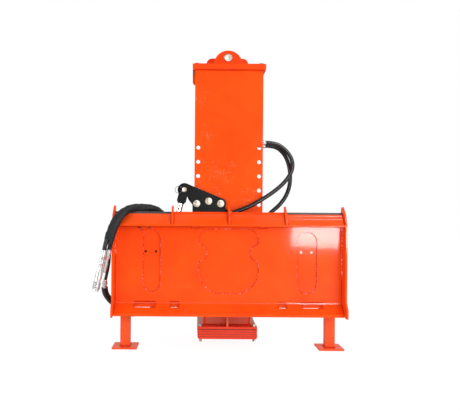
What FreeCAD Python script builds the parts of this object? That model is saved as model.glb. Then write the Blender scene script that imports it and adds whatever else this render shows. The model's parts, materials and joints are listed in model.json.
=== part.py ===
"""Side-tilting hydraulic breaker on a universal quick-attach frame, parked on two legs.

Millimetres. +X to the right and +Z up, seen from the machine that carries it; +Y runs away from that machine.
Drawing depths (y) start at the front edges of the frame's end plates. place() moves the finished pieces so that
the part's own origin is on the ground, under the middle of its box.
"""
import FreeCAD
import Part
import math
import os

V = FreeCAD.Vector
X_AXIS = V(1, 0, 0)
Y_AXIS = V(0, 1, 0)
Z_AXIS = V(0, 0, 1)

# ---- frame: the quick-attach plate and what is welded to it ----
frame_width = 1150.0
plate_t = 9.5
plate_y = 70.0            # front face of the quick-attach plate
plate_top_z = 665.0
bend_z = 232.0            # where the plate turns forward into the lower flange
flange_front_y = 10.0
flange_front_z = 186.0
frame_top_z = 716.0       # tips of the end plates and of the lip ribs
tip_reach = 32.0          # lower tips of the end plates, in front of their straight edges
tip_z = 172.0
lip_ridge_z = 677.0
lip_edge_y = 8.0
lip_edge_z = 624.0
guard_t = 9.5
guard_height = 47.0
guard_top_z = 687.0
rib_t = 10.0
rib_pitch = 280.0
backing_t = 6.0
backing_half_width = 470.0
backing_bottom_z = 255.0
skirt_inner_x = 238.0     # the backing plate hangs lower behind the flange's slots
skirt_outer_x = 478.0
skirt_low_z = 190.0
slot_x = 388.5            # centre of the two inspection slots
lock_slot_x = 415.5
lock_slot_width = 106.0
small_slot_x = 268.0
small_slot_width = 44.0
lock_slot_low_z = 205.0
lock_slot_high_z = 241.0
tab_x = 168.0
tab_gap = 2.5
tab_width = 38.0

# ---- parking legs ----
leg_x = 517.0
leg_y = 137.0
leg_side = 50.0
leg_wall = 4.0
leg_top_z = 480.0
foot_width = 125.0
foot_depth = 145.0
foot_t = 8.0
socket_wall = 6.0
socket_clearance = 0.2
socket_low_z = 240.0
socket_high_z = 560.0
stop_pin_r = 8.0
stop_pin_gap = 0.3
spacer_width = 50.0

# ---- tilt pivot and guides ----
pivot_z = 460.0
pivot_pin_r = 35.0
running_gap = 0.05
boss_r = 62.0
hub_r = 75.0
hub_t = 17.5
thrust_t = 3.0
retainer_t = 6.0
guide_z = 310.0
guide_half_width = 180.0
guide_height = 40.0
pad_gap = 0.3
pad_t = 7.7

# ---- column, hammer housing and its two bolted ends ----
column_y = 126.0          # front face of the column's wide plate
column_t = 12.0
column_half_width = 173.0
column_low_z = 200.0
column_top_z = 1407.0
row_x = 154.5             # rows of holes along both edges of the column plate
row_pitch = 72.0
row_top_z = 1013.0
row_count = 10
row_hole_r = 10.0
body_half_width = 121.0
side_t = 12.0
body_y = 201.0            # near face of the housing, behind the wide plate
body_depth = 228.0
end_t = 8.0
base_half_width = 151.5
base_front_y = 131.0
base_rear_overhang = 50.0
flange_t = 12.0
base_flange_z = 92.0
shim_t = 2.0
base_plate_t = 12.0
base_plate_count = 4
base_bolt_edge = 14.5     # bolt centre to the side edge of the plates
base_bolt_inset = 24.0
base_bolt_r = 8.0
base_bolt_out = 16.0
cap_half_width = 186.0
cap_front_y = 105.0
cap_flange_t = 14.0
cap_t = 14.0
cap_bolt_edge = 22.0
cap_bolt_inset = 20.0
cap_bolt_r = 10.0
heel_half_width = 100.0
heel_depth = 80.0
gusset_t = 10.0
rib_plate_t = 10.0

# ---- lifting lug ----
lug_t = 16.0
lug_front_y = 240.0
lug_rear_y = 330.0
lug_arc_r = 75.0
lug_arc_z = 1460.0
lug_pin_r = 20.5
lug_hole_r = 22.0
lug_hole_z = 1497.0
lug_shoulder_half_width = 112.0
lug_shoulder_z = 1514.0

# ---- tilt crank and cylinder ----
crank_t = 16.0
crank_pin_x = -223.6
crank_pin_z = 797.8
crank_bolts = ((-160.5, 728.5), (-100.0, 741.0), (-39.5, 729.5))
crank_bolt_r = 12.0
crank_washer_r = 19.0
crank_washer_t = 3.0
crank_head_t = 9.0
crank_nut_r = 19.0
crank_nut_t = 16.0
manifold_left_x = -182.0
manifold_right_x = -4.0
manifold_low_z = 645.0
manifold_top_z = 708.0
manifold_t = 19.0
rod_lean_deg = 14.3       # cylinder line from upright, foot towards the left
pin_to_pin = 545.0
crank_pin_r = 12.5
clevis_width = 46.0
clevis_ear_t = 12.0
clevis_ear_gap = 0.4
clevis_length = 63.0
ring_wire_r = 1.6
rod_r = 14.0
barrel_r = 30.0
barrel_wall = 5.0
barrel_length = 300.0     # from the base pin to the gland's face
gland_length = 22.0
base_eye_r = 24.0
base_eye_t = 40.0
base_pin_r = 12.5
base_eye_slack = 4.0      # lets the eye wander while the linkage is run with constant ratios
base_lug_t = 10.0

# ---- power cell inside the housing ----
cell_half = 75.0
tie_rod_offset = 58.0
tie_rod_r = 13.0
hole_gap = 0.2
head_low_z = 112.0
head_high_z = 470.0
cylinder_high_z = 900.0
back_head_high_z = 1070.0
tool_r = 45.0
bushing_wall = 14.0
bushing_gap = 0.5
lower_bushing_top_z = 220.0
upper_bushing_low_z = 360.0
piston_r = 38.0
piston_head_r = 44.0
chamber_low_z = 560.0
piston_low_z = 400.0
piston_high_z = 850.0
seal_outer_r = 43.0
seal_height = 6.0
seal_z = (490.0, 510.0, 830.0)
tie_rod_low_z = 330.0
retainer_pin_x = 56.0
retainer_pin_z = 290.0
retainer_pin_r = 12.0
damper_t = 34.0
stop_plate_t = 12.0

# ---- hoses ----
hose_d = 21.0
tilt_hose_d = 15.0
hose_gap = 0.3
supply_y = 154.0          # the two ports on the right of the housing
supply_z = 1043.0
return_y = 181.0
return_z = 1030.0
port_hole_r = 13.0

os.makedirs("parts", exist_ok=True)


def depth_shift():
    rear = body_y + body_depth + base_rear_overhang
    return -(rear - tip_reach) / 2


def place(shape):
    moved = shape.copy()
    moved.translate(V(0, depth_shift(), 0))
    return moved


def save(node, *solids):
    shape = solids[0] if len(solids) == 1 else Part.makeCompound(list(solids))
    place(shape).exportStep("parts/" + node + ".step")


def block(x0, x1, y0, y1, z0, z1):
    return Part.makeBox(x1 - x0, y1 - y0, z1 - z0, V(x0, y0, z0))


def rod(radius, length, start, axis):
    return Part.makeCylinder(radius, length, V(*start), axis)


def ring(outer, inner, length, start, axis):
    return rod(outer, length, start, axis).cut(rod(inner, length, start, axis))


def plate_yz(points, x0, x1):
    corners = [V(x0, y, z) for y, z in points]
    face = Part.Face(Part.makePolygon(corners + corners[:1]))
    return face.extrude(V(x1 - x0, 0, 0))


def plate_xz(points, y0, y1):
    corners = [V(x, y0, z) for x, z in points]
    face = Part.Face(Part.makePolygon(corners + corners[:1]))
    return face.extrude(V(0, y1 - y0, 0))


def edges_along(shape, axis):
    found = []
    for edge in shape.Edges:
        if isinstance(edge.Curve, Part.Line) and abs(abs(edge.Curve.Direction.dot(axis)) - 1) < 1e-6:
            found.append(edge)
    return found


def rounded(shape, axis, radius, keep=None):
    chosen = [e for e in edges_along(shape, axis) if keep is None or keep(e.CenterOfMass)]
    return shape.makeFillet(radius, chosen)


def slot_cutter(centre_x, half_width, low_z, high_z):
    cutter = block(centre_x - half_width, centre_x + half_width, plate_y - 20, plate_y + 20, low_z, high_z)
    return rounded(cutter, Y_AXIS, half_width - 1)


def mirrored(shape):
    return shape.mirror(V(0, 0, 0), X_AXIS)


def fused(*shapes):
    return shapes[0].multiFuse(list(shapes[1:])).removeSplitter()


# ---------------------------------------------------------------- frame

frame_half = frame_width / 2
end_inner_x = frame_half - plate_t
plate_back_y = plate_y + plate_t
backing_back_y = plate_back_y + backing_t


def figure_eight_cutter():
    """Rounded window with a waist, as cut in the middle of the plate."""
    half, waist, waist_z, waist_r = 150.0, 109.0, 483.0, 40.0
    low_z, high_z = 277.0, 604.0
    window = block(-half, half, plate_y - 20, plate_y + 20, low_z, high_z)
    window = rounded(window, Y_AXIS, 118, lambda c: c.z < waist_z)
    window = rounded(window, Y_AXIS, 58, lambda c: c.z > waist_z)
    for side in (-1, 1):
        notch = rod(waist_r, 60, (side * (waist + waist_r), plate_y - 30, waist_z), Y_AXIS)
        window = window.cut(notch)
    return rounded(window, Y_AXIS, 16, lambda c: abs(c.z - waist_z) < waist_r)


def left_slot_cutter():
    """Bottle-shaped slot whose neck leans left and runs up under the lip."""
    half_width, low_z, shoulder_z = 44.0, 287.0, 545.0
    centre_x = -slot_x + 5.5
    body = slot_cutter(centre_x, half_width, low_z, shoulder_z + half_width)
    neck = plate_xz([(-462, 617), (-391, 617), (-350, 580), (-340, 540), (-426, 540), (-424, 578)],
                    plate_y - 20, plate_y + 20)
    return body.fuse(neck)


def qa_plate():
    slope = (bend_z - flange_front_z) / (plate_y - flange_front_y)
    edge_height = plate_t * math.sqrt(1 + slope * slope)
    under_z = flange_front_z - edge_height
    inner_z = under_z + slope * (plate_back_y - flange_front_y)
    outline = [(plate_y, plate_top_z), (plate_y, bend_z), (flange_front_y, flange_front_z),
               (flange_front_y, under_z), (plate_back_y, inner_z), (plate_back_y, plate_top_z)]
    plate = plate_yz(outline, -end_inner_x, end_inner_x)
    cutters = [figure_eight_cutter(), left_slot_cutter(), slot_cutter(slot_x + 1.5, 50, 281, 591)]
    for centre, width in ((lock_slot_x, lock_slot_width), (small_slot_x, small_slot_width)):
        for side in (-1, 1):
            middle = side * centre
            cutters.append(block(middle - width / 2, middle + width / 2, flange_front_y + 32,
                                 backing_back_y, lock_slot_low_z, lock_slot_high_z))
    return plate.cut(Part.makeCompound(cutters))


lip_outer = [(plate_back_y, lip_ridge_z), (65, lip_ridge_z), (59, 669), (46, 655), (lip_edge_y, lip_edge_z)]


def top_lip():
    inner = [(lip_edge_y, 617.5), (13, 615.5), (48, 644.5), (66, plate_top_z), (plate_back_y, plate_top_z)]
    return plate_yz(lip_outer + inner, -end_inner_x, end_inner_x)


def end_plate():
    outline = [(0, 250), (-tip_reach, 215), (-tip_reach, tip_z), (-10, tip_z), (20, 180), (110, 232),
               (110, 700), (98, frame_top_z), (84, frame_top_z), (46, 690), (25, 668), (0, 622)]
    return plate_yz(outline, end_inner_x, frame_half)


def lip_rib(x):
    rear = [(plate_back_y, guard_top_z + 1), (guard_back_y, guard_top_z + 1), (guard_back_y, frame_top_z),
            (guard_back_y - 8, frame_top_z)]
    front = [(46, 690), (20, 657), (lip_edge_y, 636)]
    outline = lip_outer[::-1] + rear + front
    return plate_yz(outline, x - rib_t / 2, x + rib_t / 2)


guard_inner_x = rib_pitch + rib_t / 2
guard_low_z = guard_top_z - guard_height
guard_back_y = plate_back_y + guard_t


def edge_guard():
    strip = block(guard_inner_x, end_inner_x, plate_back_y, guard_back_y, guard_low_z, guard_top_z)
    return rounded(strip, X_AXIS, 4, lambda c: c.z > guard_low_z + 1)


def backing_plate():
    plate = block(-backing_half_width, backing_half_width, plate_back_y, backing_back_y,
                  backing_bottom_z, guard_low_z - 1)
    holes = []
    for x in (-slot_x - 25.5, -slot_x + 25.5, slot_x - 25.5, slot_x + 25.5):
        holes.append(rod(6, 30, (x, plate_y, 488), Y_AXIS))
    for x in (-443, -396.5):
        holes.append(rod(4, 30, (x, plate_y, 607), Y_AXIS))
    skirts = [block(min(side * a, side * b), max(side * a, side * b), plate_back_y, backing_back_y,
                    skirt_low_z, backing_bottom_z) for side in (-1, 1) for a, b in ((skirt_inner_x, skirt_outer_x),)]
    return fused(plate, *skirts).cut(Part.makeCompound(holes))


def lip_tab(side):
    """Tab that hangs from inside the lip, just clear of the plate's face."""
    x = side * tab_x
    return block(x - tab_width / 2, x + tab_width / 2, plate_y - 9, plate_y - tab_gap, 606, lip_ridge_z - 9)


# ---------------------------------------------------------------- parking legs

socket_half = leg_side / 2 + socket_clearance + socket_wall
stop_pin_z = leg_top_z + stop_pin_gap + stop_pin_r


def square_tube(centre_x, outer_half, inner_half, z0, z1):
    outer = block(centre_x - outer_half, centre_x + outer_half, leg_y - outer_half, leg_y + outer_half, z0, z1)
    outer = rounded(outer, Z_AXIS, 4)
    inner = block(centre_x - inner_half, centre_x + inner_half, leg_y - inner_half, leg_y + inner_half,
                  z0 - 1, z1 + 1)
    return outer.cut(inner)


def leg_socket(side):
    x = side * leg_x
    tube = square_tube(x, socket_half, leg_side / 2 + socket_clearance, socket_low_z, socket_high_z)
    spacers = []
    for z in (socket_low_z + 20, socket_high_z - 60):
        spacers.append(block(x - spacer_width / 2, x + spacer_width / 2, plate_back_y, leg_y - socket_half,
                             z, z + 40))
    body = fused(tube, *spacers)
    hole = rod(stop_pin_r + running_gap, 3 * socket_half, (x - 1.5 * socket_half, leg_y, stop_pin_z), X_AXIS)
    return body.cut(hole)


def parking_leg(side):
    """Square tube welded on its foot plate."""
    x = side * leg_x
    tube = square_tube(x, leg_side / 2, leg_side / 2 - leg_wall, foot_t, leg_top_z)
    foot = block(x - foot_width / 2, x + foot_width / 2, leg_y - foot_depth / 2, leg_y + foot_depth / 2,
                 0, foot_t)
    return fused(tube, rounded(foot, Z_AXIS, 6))


def stop_pin(side):
    """Pin over the leg's top end, pulled outwards by its head."""
    inner_x = leg_x - socket_half - 3
    outer_x = leg_x + socket_half + 4
    shank = rod(stop_pin_r, outer_x - inner_x, (inner_x, leg_y, stop_pin_z), X_AXIS)
    head = rod(15, 10, (outer_x, leg_y, stop_pin_z), X_AXIS)
    pin = fused(shank, head)
    return pin if side > 0 else mirrored(pin)


# ---------------------------------------------------------------- pivot and guides

hub_y = backing_back_y
boss_front_y = hub_y + hub_t + thrust_t
retainer_y = body_y - retainer_t - 3
pivot_end_y = retainer_y


def pivot_hub():
    hub = rod(hub_r, hub_t, (0, hub_y, pivot_z), Y_AXIS)
    return hub.cut(rod(pivot_pin_r + running_gap, hub_t, (0, hub_y, pivot_z), Y_AXIS))


def pivot_boss():
    return ring(boss_r, pivot_pin_r + running_gap, pivot_end_y - 1 - boss_front_y,
                (0, boss_front_y, pivot_z), Y_AXIS)


def pivot_retainer():
    plate = rod(52, retainer_t, (0, retainer_y, pivot_z), Y_AXIS)
    heads = [rod(7, 2.5, (x, retainer_y + retainer_t, pivot_z), Y_AXIS) for x in (-20, 20)]
    return fused(plate, *heads)


def guide_channel():
    y1 = column_y - pad_gap - pad_t
    channel = block(-guide_half_width, guide_half_width, backing_back_y, y1,
                    guide_z - guide_height / 2, guide_z + guide_height / 2)
    hollow = block(-guide_half_width, guide_half_width, backing_back_y, y1 - 8,
                   guide_z - guide_height / 2 + 8, guide_z + guide_height / 2 - 8)
    return channel.cut(hollow)


def wear_pad(side):
    y0 = column_y - pad_gap - pad_t
    x = side * (guide_half_width - 50)
    return block(x - 45, x + 45, y0, y0 + pad_t, guide_z - 16, guide_z + 16)


# ---------------------------------------------------------------- column and housing

body_far_y = body_y + body_depth
axis_y = body_y + body_depth / 2
base_rear_y = body_far_y + base_rear_overhang
base_flange_top_z = base_flange_z + flange_t
base_stack_top_z = base_flange_z - shim_t
base_low_z = base_stack_top_z - base_plate_count * base_plate_t
cap_flange_z = column_top_z
cap_z = column_top_z + cap_flange_t
cap_top_z = cap_z + cap_t
cap_rear_y = 2 * axis_y - cap_front_y - 48
tool_hole_r = tool_r + bushing_wall + 2


def column_plate():
    plate = block(-column_half_width, column_half_width, column_y, column_y + column_t,
                  column_low_z, column_top_z)
    holes = [rod(boss_r + running_gap, column_t, (0, column_y, pivot_z), Y_AXIS)]
    for i in range(row_count):
        for side in (-1, 1):
            holes.append(rod(row_hole_r, column_t, (side * row_x, column_y, row_top_z - i * row_pitch), Y_AXIS))
    for x, z in crank_bolts:
        holes.append(rod(crank_bolt_r + hole_gap, column_t, (x, column_y, z), Y_AXIS))
    return plate.cut(Part.makeCompound(holes))


def centre_rib():
    y0 = column_y + column_t
    upper = block(-rib_plate_t / 2, rib_plate_t / 2, y0, body_y, column_low_z, column_top_z)
    lower = plate_yz([(base_front_y + 4, base_flange_top_z), (body_y, base_flange_top_z),
                      (body_y, column_low_z), (base_front_y + 26, column_low_z)],
                     -rib_plate_t / 2, rib_plate_t / 2)
    window = rod(boss_r + 4, body_y - y0, (0, y0, pivot_z), Y_AXIS)
    return fused(upper, lower).cut(window)


def side_windows():
    """Rounded openings in a side plate, for reaching the valve, the cylinder and the top damper."""
    cutters = []
    for low_z, high_z in ((540, 700), (770, 860), (1130, 1250)):
        window = block(0, 400, axis_y - 45, axis_y + 45, low_z, high_z)
        cutters.append(rounded(window, X_AXIS, 30))
    return cutters


def housing_side(side):
    y0 = column_y + column_t
    outline = [(y0, column_top_z), (y0, column_low_z + 30), (body_y, column_low_z - 30),
               (body_y, base_flange_top_z), (body_far_y, base_flange_top_z), (body_far_y, column_top_z)]
    plate = plate_yz(outline, body_half_width - side_t, body_half_width)
    cutters = side_windows()
    if side > 0:
        for y, z in ((supply_y, supply_z), (return_y, return_z)):
            cutters.append(rod(port_hole_r, 60, (body_half_width - 30, y, z), X_AXIS))
    else:
        nut_x, nut_z = crank_bolts[1]
        cutters.append(rod(crank_nut_r + 1.5, crank_nut_t + 14, (-nut_x, y0, nut_z), Y_AXIS))
    plate = plate.cut(Part.makeCompound(cutters))
    return plate if side > 0 else mirrored(plate)


def housing_near():
    half = body_half_width - side_t
    plate = block(-half, half, body_y, body_y + end_t, base_flange_top_z, column_top_z)
    for z in (1012, 1052):
        plate = plate.cut(rod(10.5, end_t, (55, body_y, z), Y_AXIS))
    return plate


def housing_far():
    half = body_half_width - side_t
    plate = block(-half, half, body_far_y - end_t, body_far_y, base_flange_top_z, column_top_z)
    holes = []
    for side in (-1, 1):
        holes.append(rod(retainer_pin_r + 3, end_t, (side * retainer_pin_x, body_far_y - end_t, retainer_pin_z),
                         Y_AXIS))
    return plate.cut(Part.makeCompound(holes))


def corner_points(half_x, front_y, rear_y, inset):
    return [(x, y) for x in (-half_x, half_x) for y in (front_y + inset, rear_y - inset)]


def base_corners():
    return corner_points(base_half_width - base_bolt_edge, base_front_y, base_rear_y, base_bolt_inset)


def cap_corners():
    """Cap bolts stand just behind the column plate and along the rear edge."""
    return corner_points(cap_half_width - cap_bolt_edge, column_y + column_t, cap_rear_y, cap_bolt_inset)


def drilled(plate, corners, radius, z0, z1):
    holes = [rod(radius + hole_gap, z1 - z0, (x, y, z0), Z_AXIS) for x, y in corners]
    return plate.cut(Part.makeCompound(holes))


def base_layer(z0, z1, half_width, corner_r):
    plate = block(-half_width, half_width, base_front_y, base_rear_y, z0, z1)
    plate = rounded(plate, Z_AXIS, corner_r)
    plate = drilled(plate, base_corners(), base_bolt_r, z0, z1)
    return plate.cut(rod(tool_hole_r, z1 - z0, (0, axis_y, z0), Z_AXIS))


def base_shim():
    plate = block(-base_half_width + 4, base_half_width - 4, base_front_y + 4, base_rear_y - 4,
                  base_stack_top_z, base_flange_z)
    plate = drilled(plate, base_corners(), base_bolt_r, base_stack_top_z, base_flange_z)
    return plate.cut(rod(tool_hole_r, shim_t, (0, axis_y, base_stack_top_z), Z_AXIS))


def base_stack():
    plates = []
    for i in range(base_plate_count):
        z0 = base_low_z + i * base_plate_t
        half = base_half_width if i % 2 else base_half_width - 1
        plates.append(base_layer(z0, z0 + base_plate_t, half, 6))
    plates[0] = plates[0].common(low_edge_envelope())
    return plates


def low_edge_envelope():
    """Outline that takes the two lower side edges off the bottom plate."""
    half, cut = base_half_width, 6
    z1 = base_low_z + base_plate_t
    outline = [(-half, z1), (-half, base_low_z + cut), (-half + cut, base_low_z),
               (half - cut, base_low_z), (half, base_low_z + cut), (half, z1)]
    return plate_xz(outline, base_front_y, base_rear_y)


def bolt(x, y, low_z, high_z, radius, head_up=True):
    shank = rod(radius, high_z - low_z, (x, y, low_z), Z_AXIS)
    head = hexagon(x, y, high_z, radius * 1.6, radius * 1.2)
    return fused(shank, head)


def hexagon(x, y, z, radius, height):
    corners = [V(x + radius * math.cos(math.radians(60 * i)), y + radius * math.sin(math.radians(60 * i)), z)
               for i in range(6)]
    return Part.Face(Part.makePolygon(corners + corners[:1])).extrude(V(0, 0, height))


def base_bolts():
    return [bolt(x, y, base_low_z - base_bolt_out, base_flange_top_z, base_bolt_r) for x, y in base_corners()]


def heel_pad():
    y1 = base_rear_y - 40
    pad = block(-heel_half_width, heel_half_width, y1 - heel_depth, y1, 0, base_low_z)
    pad = rounded(pad, Z_AXIS, 12)
    return pad.cut(rod(tool_hole_r, base_low_z, (0, axis_y, 0), Z_AXIS))


def gusset(outline, y):
    return plate_xz(outline, y, y + gusset_t)


def base_gussets():
    """A triangle on the right of the housing and a taller square plate on its left, on the base flange."""
    z0 = base_flange_top_z
    side_x, edge_x = body_half_width, base_half_width - 3
    right = gusset([(side_x, z0), (edge_x, z0), (side_x + 3, z0 + 62), (side_x, z0 + 62)], body_y + 2)
    left = gusset([(-side_x, z0), (-edge_x, z0), (-edge_x, z0 + 80), (-side_x - 14, z0 + 90),
                   (-side_x, z0 + 90)], body_y + 2)
    return [right, left]


def cap_gussets():
    """Under the cap: a long taper down the right side and a short square plate on the left."""
    z1 = cap_flange_z
    y = column_y + column_t + cap_bolt_inset + 20
    side_x, edge_x = body_half_width, cap_half_width - 3
    right = gusset([(side_x, z1), (edge_x, z1), (side_x + 3, z1 - 175), (side_x, z1 - 175)], y)
    left = gusset([(-side_x, z1), (-edge_x, z1), (-edge_x, z1 - 60), (-side_x - 14, z1 - 90),
                   (-side_x, z1 - 90)], y)
    return [right, left]


def cap_flange():
    plate = block(-cap_half_width, cap_half_width, cap_front_y, cap_rear_y, cap_flange_z, cap_z)
    plate = rounded(plate, Z_AXIS, 12)
    return drilled(plate, cap_corners(), cap_bolt_r, cap_flange_z, cap_z)


def cap_plate():
    plate = block(-cap_half_width, cap_half_width, cap_front_y, cap_rear_y, cap_z, cap_top_z)
    plate = rounded(plate, Z_AXIS, 12)
    return drilled(plate, cap_corners(), cap_bolt_r, cap_z, cap_top_z)


def cap_bolts():
    solids = []
    for x, y in cap_corners():
        solids.append(bolt(x, y, cap_flange_z - 14, cap_top_z, cap_bolt_r))
    return solids


def cap_nuts():
    nuts = []
    for x, y in cap_corners():
        nut = hexagon(x, y, cap_flange_z - 12, cap_bolt_r * 1.6, 12)
        nuts.append(nut.cut(rod(cap_bolt_r + hole_gap, 12, (x, y, cap_flange_z - 12), Z_AXIS)))
    return nuts


def lug_hole(y):
    return rod(lug_hole_r, lug_t, (0, y, lug_hole_z), Y_AXIS)


def lug_front():
    y = lug_front_y
    arch = rod(lug_arc_r, lug_t, (0, y, lug_arc_z), Y_AXIS)
    foot = block(-lug_arc_r, lug_arc_r, y, y + lug_t, cap_top_z, lug_arc_z)
    plate = fused(arch, foot)
    below = block(-200, 200, y - 1, y + lug_t + 1, cap_top_z - 200, cap_top_z)
    return plate.cut(below).cut(lug_hole(y))


def lug_rear():
    y = lug_rear_y
    half = lug_shoulder_half_width
    plate = block(-half, half, y, y + lug_t, cap_top_z, lug_shoulder_z)
    plate = rounded(plate, Y_AXIS, 30, lambda c: c.z > cap_top_z + 10)
    return plate.cut(lug_hole(y))


def lug_pin():
    y0 = lug_front_y - 4
    z = lug_hole_z - (lug_hole_r - lug_pin_r) + running_gap
    pin = rod(lug_pin_r, lug_rear_y + lug_t + 8 - y0, (0, y0, z), Y_AXIS)
    return pin.makeChamfer(2, [e for e in pin.Edges if abs(e.CenterOfMass.y - y0) < 0.01 and e.Closed])


# ---------------------------------------------------------------- crank, manifold and tilt cylinder

crank_y = column_y - crank_t


def crank_bracket():
    outline = [(crank_pin_x + 9, crank_pin_z + 33), (-28, 753), (-16, 715), (-16, 646), (-182, 646),
               (-182, 722), (-203, 749), (crank_pin_x + 14, crank_pin_z - 30)]
    plate = plate_xz(outline, crank_y, column_y)
    eye = rod(34, crank_t, (crank_pin_x, crank_y, crank_pin_z), Y_AXIS)
    nose = rod(27, crank_t, (crank_bolts[2][0], crank_y, crank_bolts[2][1]), Y_AXIS)
    plate = fused(plate, eye, nose)
    holes = [rod(crank_pin_r + running_gap, crank_t, (crank_pin_x, crank_y, crank_pin_z), Y_AXIS)]
    for x, z in crank_bolts:
        holes.append(rod(crank_bolt_r + hole_gap, crank_t, (x, crank_y, z), Y_AXIS))
    return plate.cut(Part.makeCompound(holes))


def crank_bolt_set():
    solids = []
    for x, z in crank_bolts:
        washer = rod(crank_washer_r, crank_washer_t, (x, crank_y - crank_washer_t, z), Y_AXIS)
        head = rod(crank_bolt_r * 1.25, crank_head_t, (x, crank_y - crank_washer_t - crank_head_t, z), Y_AXIS)
        socket = Part.makeCylinder(7, 5, V(x, crank_y - crank_washer_t - crank_head_t, z), Y_AXIS)
        shank = rod(crank_bolt_r, crank_t + column_t + crank_nut_t + 6, (x, crank_y, z), Y_AXIS)
        solids.append(fused(washer, head, shank).cut(socket))
    return solids


def crank_nuts():
    nuts = []
    y = column_y + column_t
    for x, z in crank_bolts:
        nuts.append(ring(crank_nut_r, crank_bolt_r + hole_gap, crank_nut_t, (x, y, z), Y_AXIS))
    return nuts


def manifold():
    y1 = crank_y
    outline = [(manifold_left_x, manifold_low_z), (manifold_right_x - 8, manifold_low_z),
               (manifold_right_x, manifold_low_z + 8), (manifold_right_x, 694), (-14, manifold_top_z - 3),
               (-40, manifold_top_z - 10), (-100, manifold_top_z - 6), (-160, manifold_top_z - 8),
               (manifold_left_x, manifold_top_z - 12)]
    return plate_xz(outline, y1 - manifold_t, y1)


lean = math.radians(rod_lean_deg)
down = V(-math.sin(lean), 0, -math.cos(lean))
across = V(math.cos(lean), 0, -math.sin(lean))
cylinder_y = crank_y + crank_t / 2
crank_pin = V(crank_pin_x, cylinder_y, crank_pin_z)
base_pin = crank_pin + down * pin_to_pin


def along(start, distance, depth=0.0):
    return start + down * distance + V(0, depth, 0)


def clevis():
    half = crank_t / 2 + clevis_ear_gap
    outer = half + clevis_ear_t
    ears = []
    for y in (-outer, half):
        eye = Part.makeCylinder(clevis_width / 2, clevis_ear_t, along(crank_pin, 0, y), Y_AXIS)
        strap = oriented_block(along(crank_pin, 0, y), clevis_width, clevis_ear_t, clevis_length)
        ears.append(fused(eye, strap))
    bridge_start = 46
    bridge = oriented_block(along(crank_pin, bridge_start, -outer), clevis_width, 2 * outer,
                            clevis_length - bridge_start)
    body = fused(bridge, *ears)
    hole = Part.makeCylinder(crank_pin_r + running_gap, 2 * outer, along(crank_pin, 0, -outer), Y_AXIS)
    thread = Part.makeCylinder(rod_r - 3, clevis_length, crank_pin + down * bridge_start, down)
    return body.cut(Part.makeCompound([hole, thread]))


def oriented_block(start, width, depth, length):
    """Box whose length runs down the cylinder line from start; width is across it and depth is along Y."""
    left = start - across * (width / 2)
    corners = [left, left + across * width, left + across * width + down * length, left + down * length]
    return Part.Face(Part.makePolygon(corners + corners[:1])).extrude(V(0, depth, 0))


def clevis_pin():
    half = crank_t / 2 + clevis_ear_gap + clevis_ear_t
    shank = Part.makeCylinder(crank_pin_r, 2 * half + 6, along(crank_pin, 0, -half - 3), Y_AXIS)
    shank = shank.makeChamfer(1.5, [e for e in shank.Edges if e.Closed])
    return shank.cut(ring_shape(ring_wire_r + hose_gap))


def ring_shape(wire_r):
    """Split ring that keeps the clevis pin in, hanging through its end."""
    half = crank_t / 2 + clevis_ear_gap + clevis_ear_t
    centre = crank_pin + V(-22, -half - 2.2, -1)
    return Part.makeTorus(12.5, wire_r, centre, Y_AXIS)


def tilt_rod():
    piston_d = pin_to_pin - barrel_length + 90
    shaft = Part.makeCylinder(rod_r, piston_d - 63, crank_pin + down * 63, down)
    stub = Part.makeCylinder(rod_r - 3.2, 17, crank_pin + down * 46, down)
    piston = Part.makeCylinder(barrel_r - barrel_wall - 0.1, 24, crank_pin + down * piston_d, down)
    return fused(shaft, stub, piston)


def tilt_barrel():
    gland_start = pin_to_pin - barrel_length
    tube = Part.makeCylinder(barrel_r, barrel_length - 34, crank_pin + down * gland_start, down)
    bore = Part.makeCylinder(barrel_r - barrel_wall, barrel_length - 34 - gland_length - 12,
                             crank_pin + down * (gland_start + gland_length), down)
    rod_hole = Part.makeCylinder(rod_r + running_gap, gland_length, crank_pin + down * gland_start, down)
    eye = Part.makeCylinder(base_eye_r, base_eye_t, base_pin - V(0, base_eye_t / 2, 0), Y_AXIS)
    neck = oriented_block(along(crank_pin, pin_to_pin - 36, -base_eye_t / 2), 40, base_eye_t, 30)
    ports = []
    for distance in (gland_start + 40, pin_to_pin - 62):
        ports.append(Part.makeCylinder(11, barrel_r + 14, crank_pin + down * distance, Y_AXIS))
    body = fused(tube, eye, neck, *ports)
    pin_hole = Part.makeCylinder(base_pin_r + base_eye_slack, base_eye_t,
                                 base_pin - V(0, base_eye_t / 2, 0), Y_AXIS)
    return body.cut(Part.makeCompound([bore, rod_hole, pin_hole]))


def base_lug():
    """U bracket behind the plate that carries the foot of the tilt cylinder."""
    x0, x1 = base_pin.x - 42, base_pin.x + 42
    z0, z1 = base_pin.z - 44, base_pin.z + 16
    rear_y = cylinder_y + base_eye_t / 2 + 3
    near = block(x0, x1, backing_back_y, cylinder_y - base_eye_t / 2 - 3, z0, z1)
    far = block(x0, x1, rear_y, rear_y + base_lug_t, z0, z1)
    web = block(x0, x1, backing_back_y, rear_y + base_lug_t, z0, z0 + base_lug_t)
    body = fused(near, far, web)
    return body.cut(rod(base_pin_r + running_gap, 200, (base_pin.x, backing_back_y, base_pin.z), Y_AXIS))


def base_pin_solid():
    length = cylinder_y + base_eye_t / 2 + 3 + base_lug_t + 6 - backing_back_y
    return rod(base_pin_r, length, (base_pin.x, backing_back_y, base_pin.z), Y_AXIS)


# ---------------------------------------------------------------- power cell

cell_y0 = axis_y - cell_half
cell_y1 = axis_y + cell_half


def tie_rod_points():
    return [(x, axis_y + y) for x in (-tie_rod_offset, tie_rod_offset) for y in (-tie_rod_offset, tie_rod_offset)]


def cell_block(z0, z1, drill_z):
    body = block(-cell_half, cell_half, cell_y0, cell_y1, z0, z1)
    body = rounded(body, Z_AXIS, 10)
    return drilled(body, tie_rod_points(), tie_rod_r, drill_z, z1)


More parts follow.
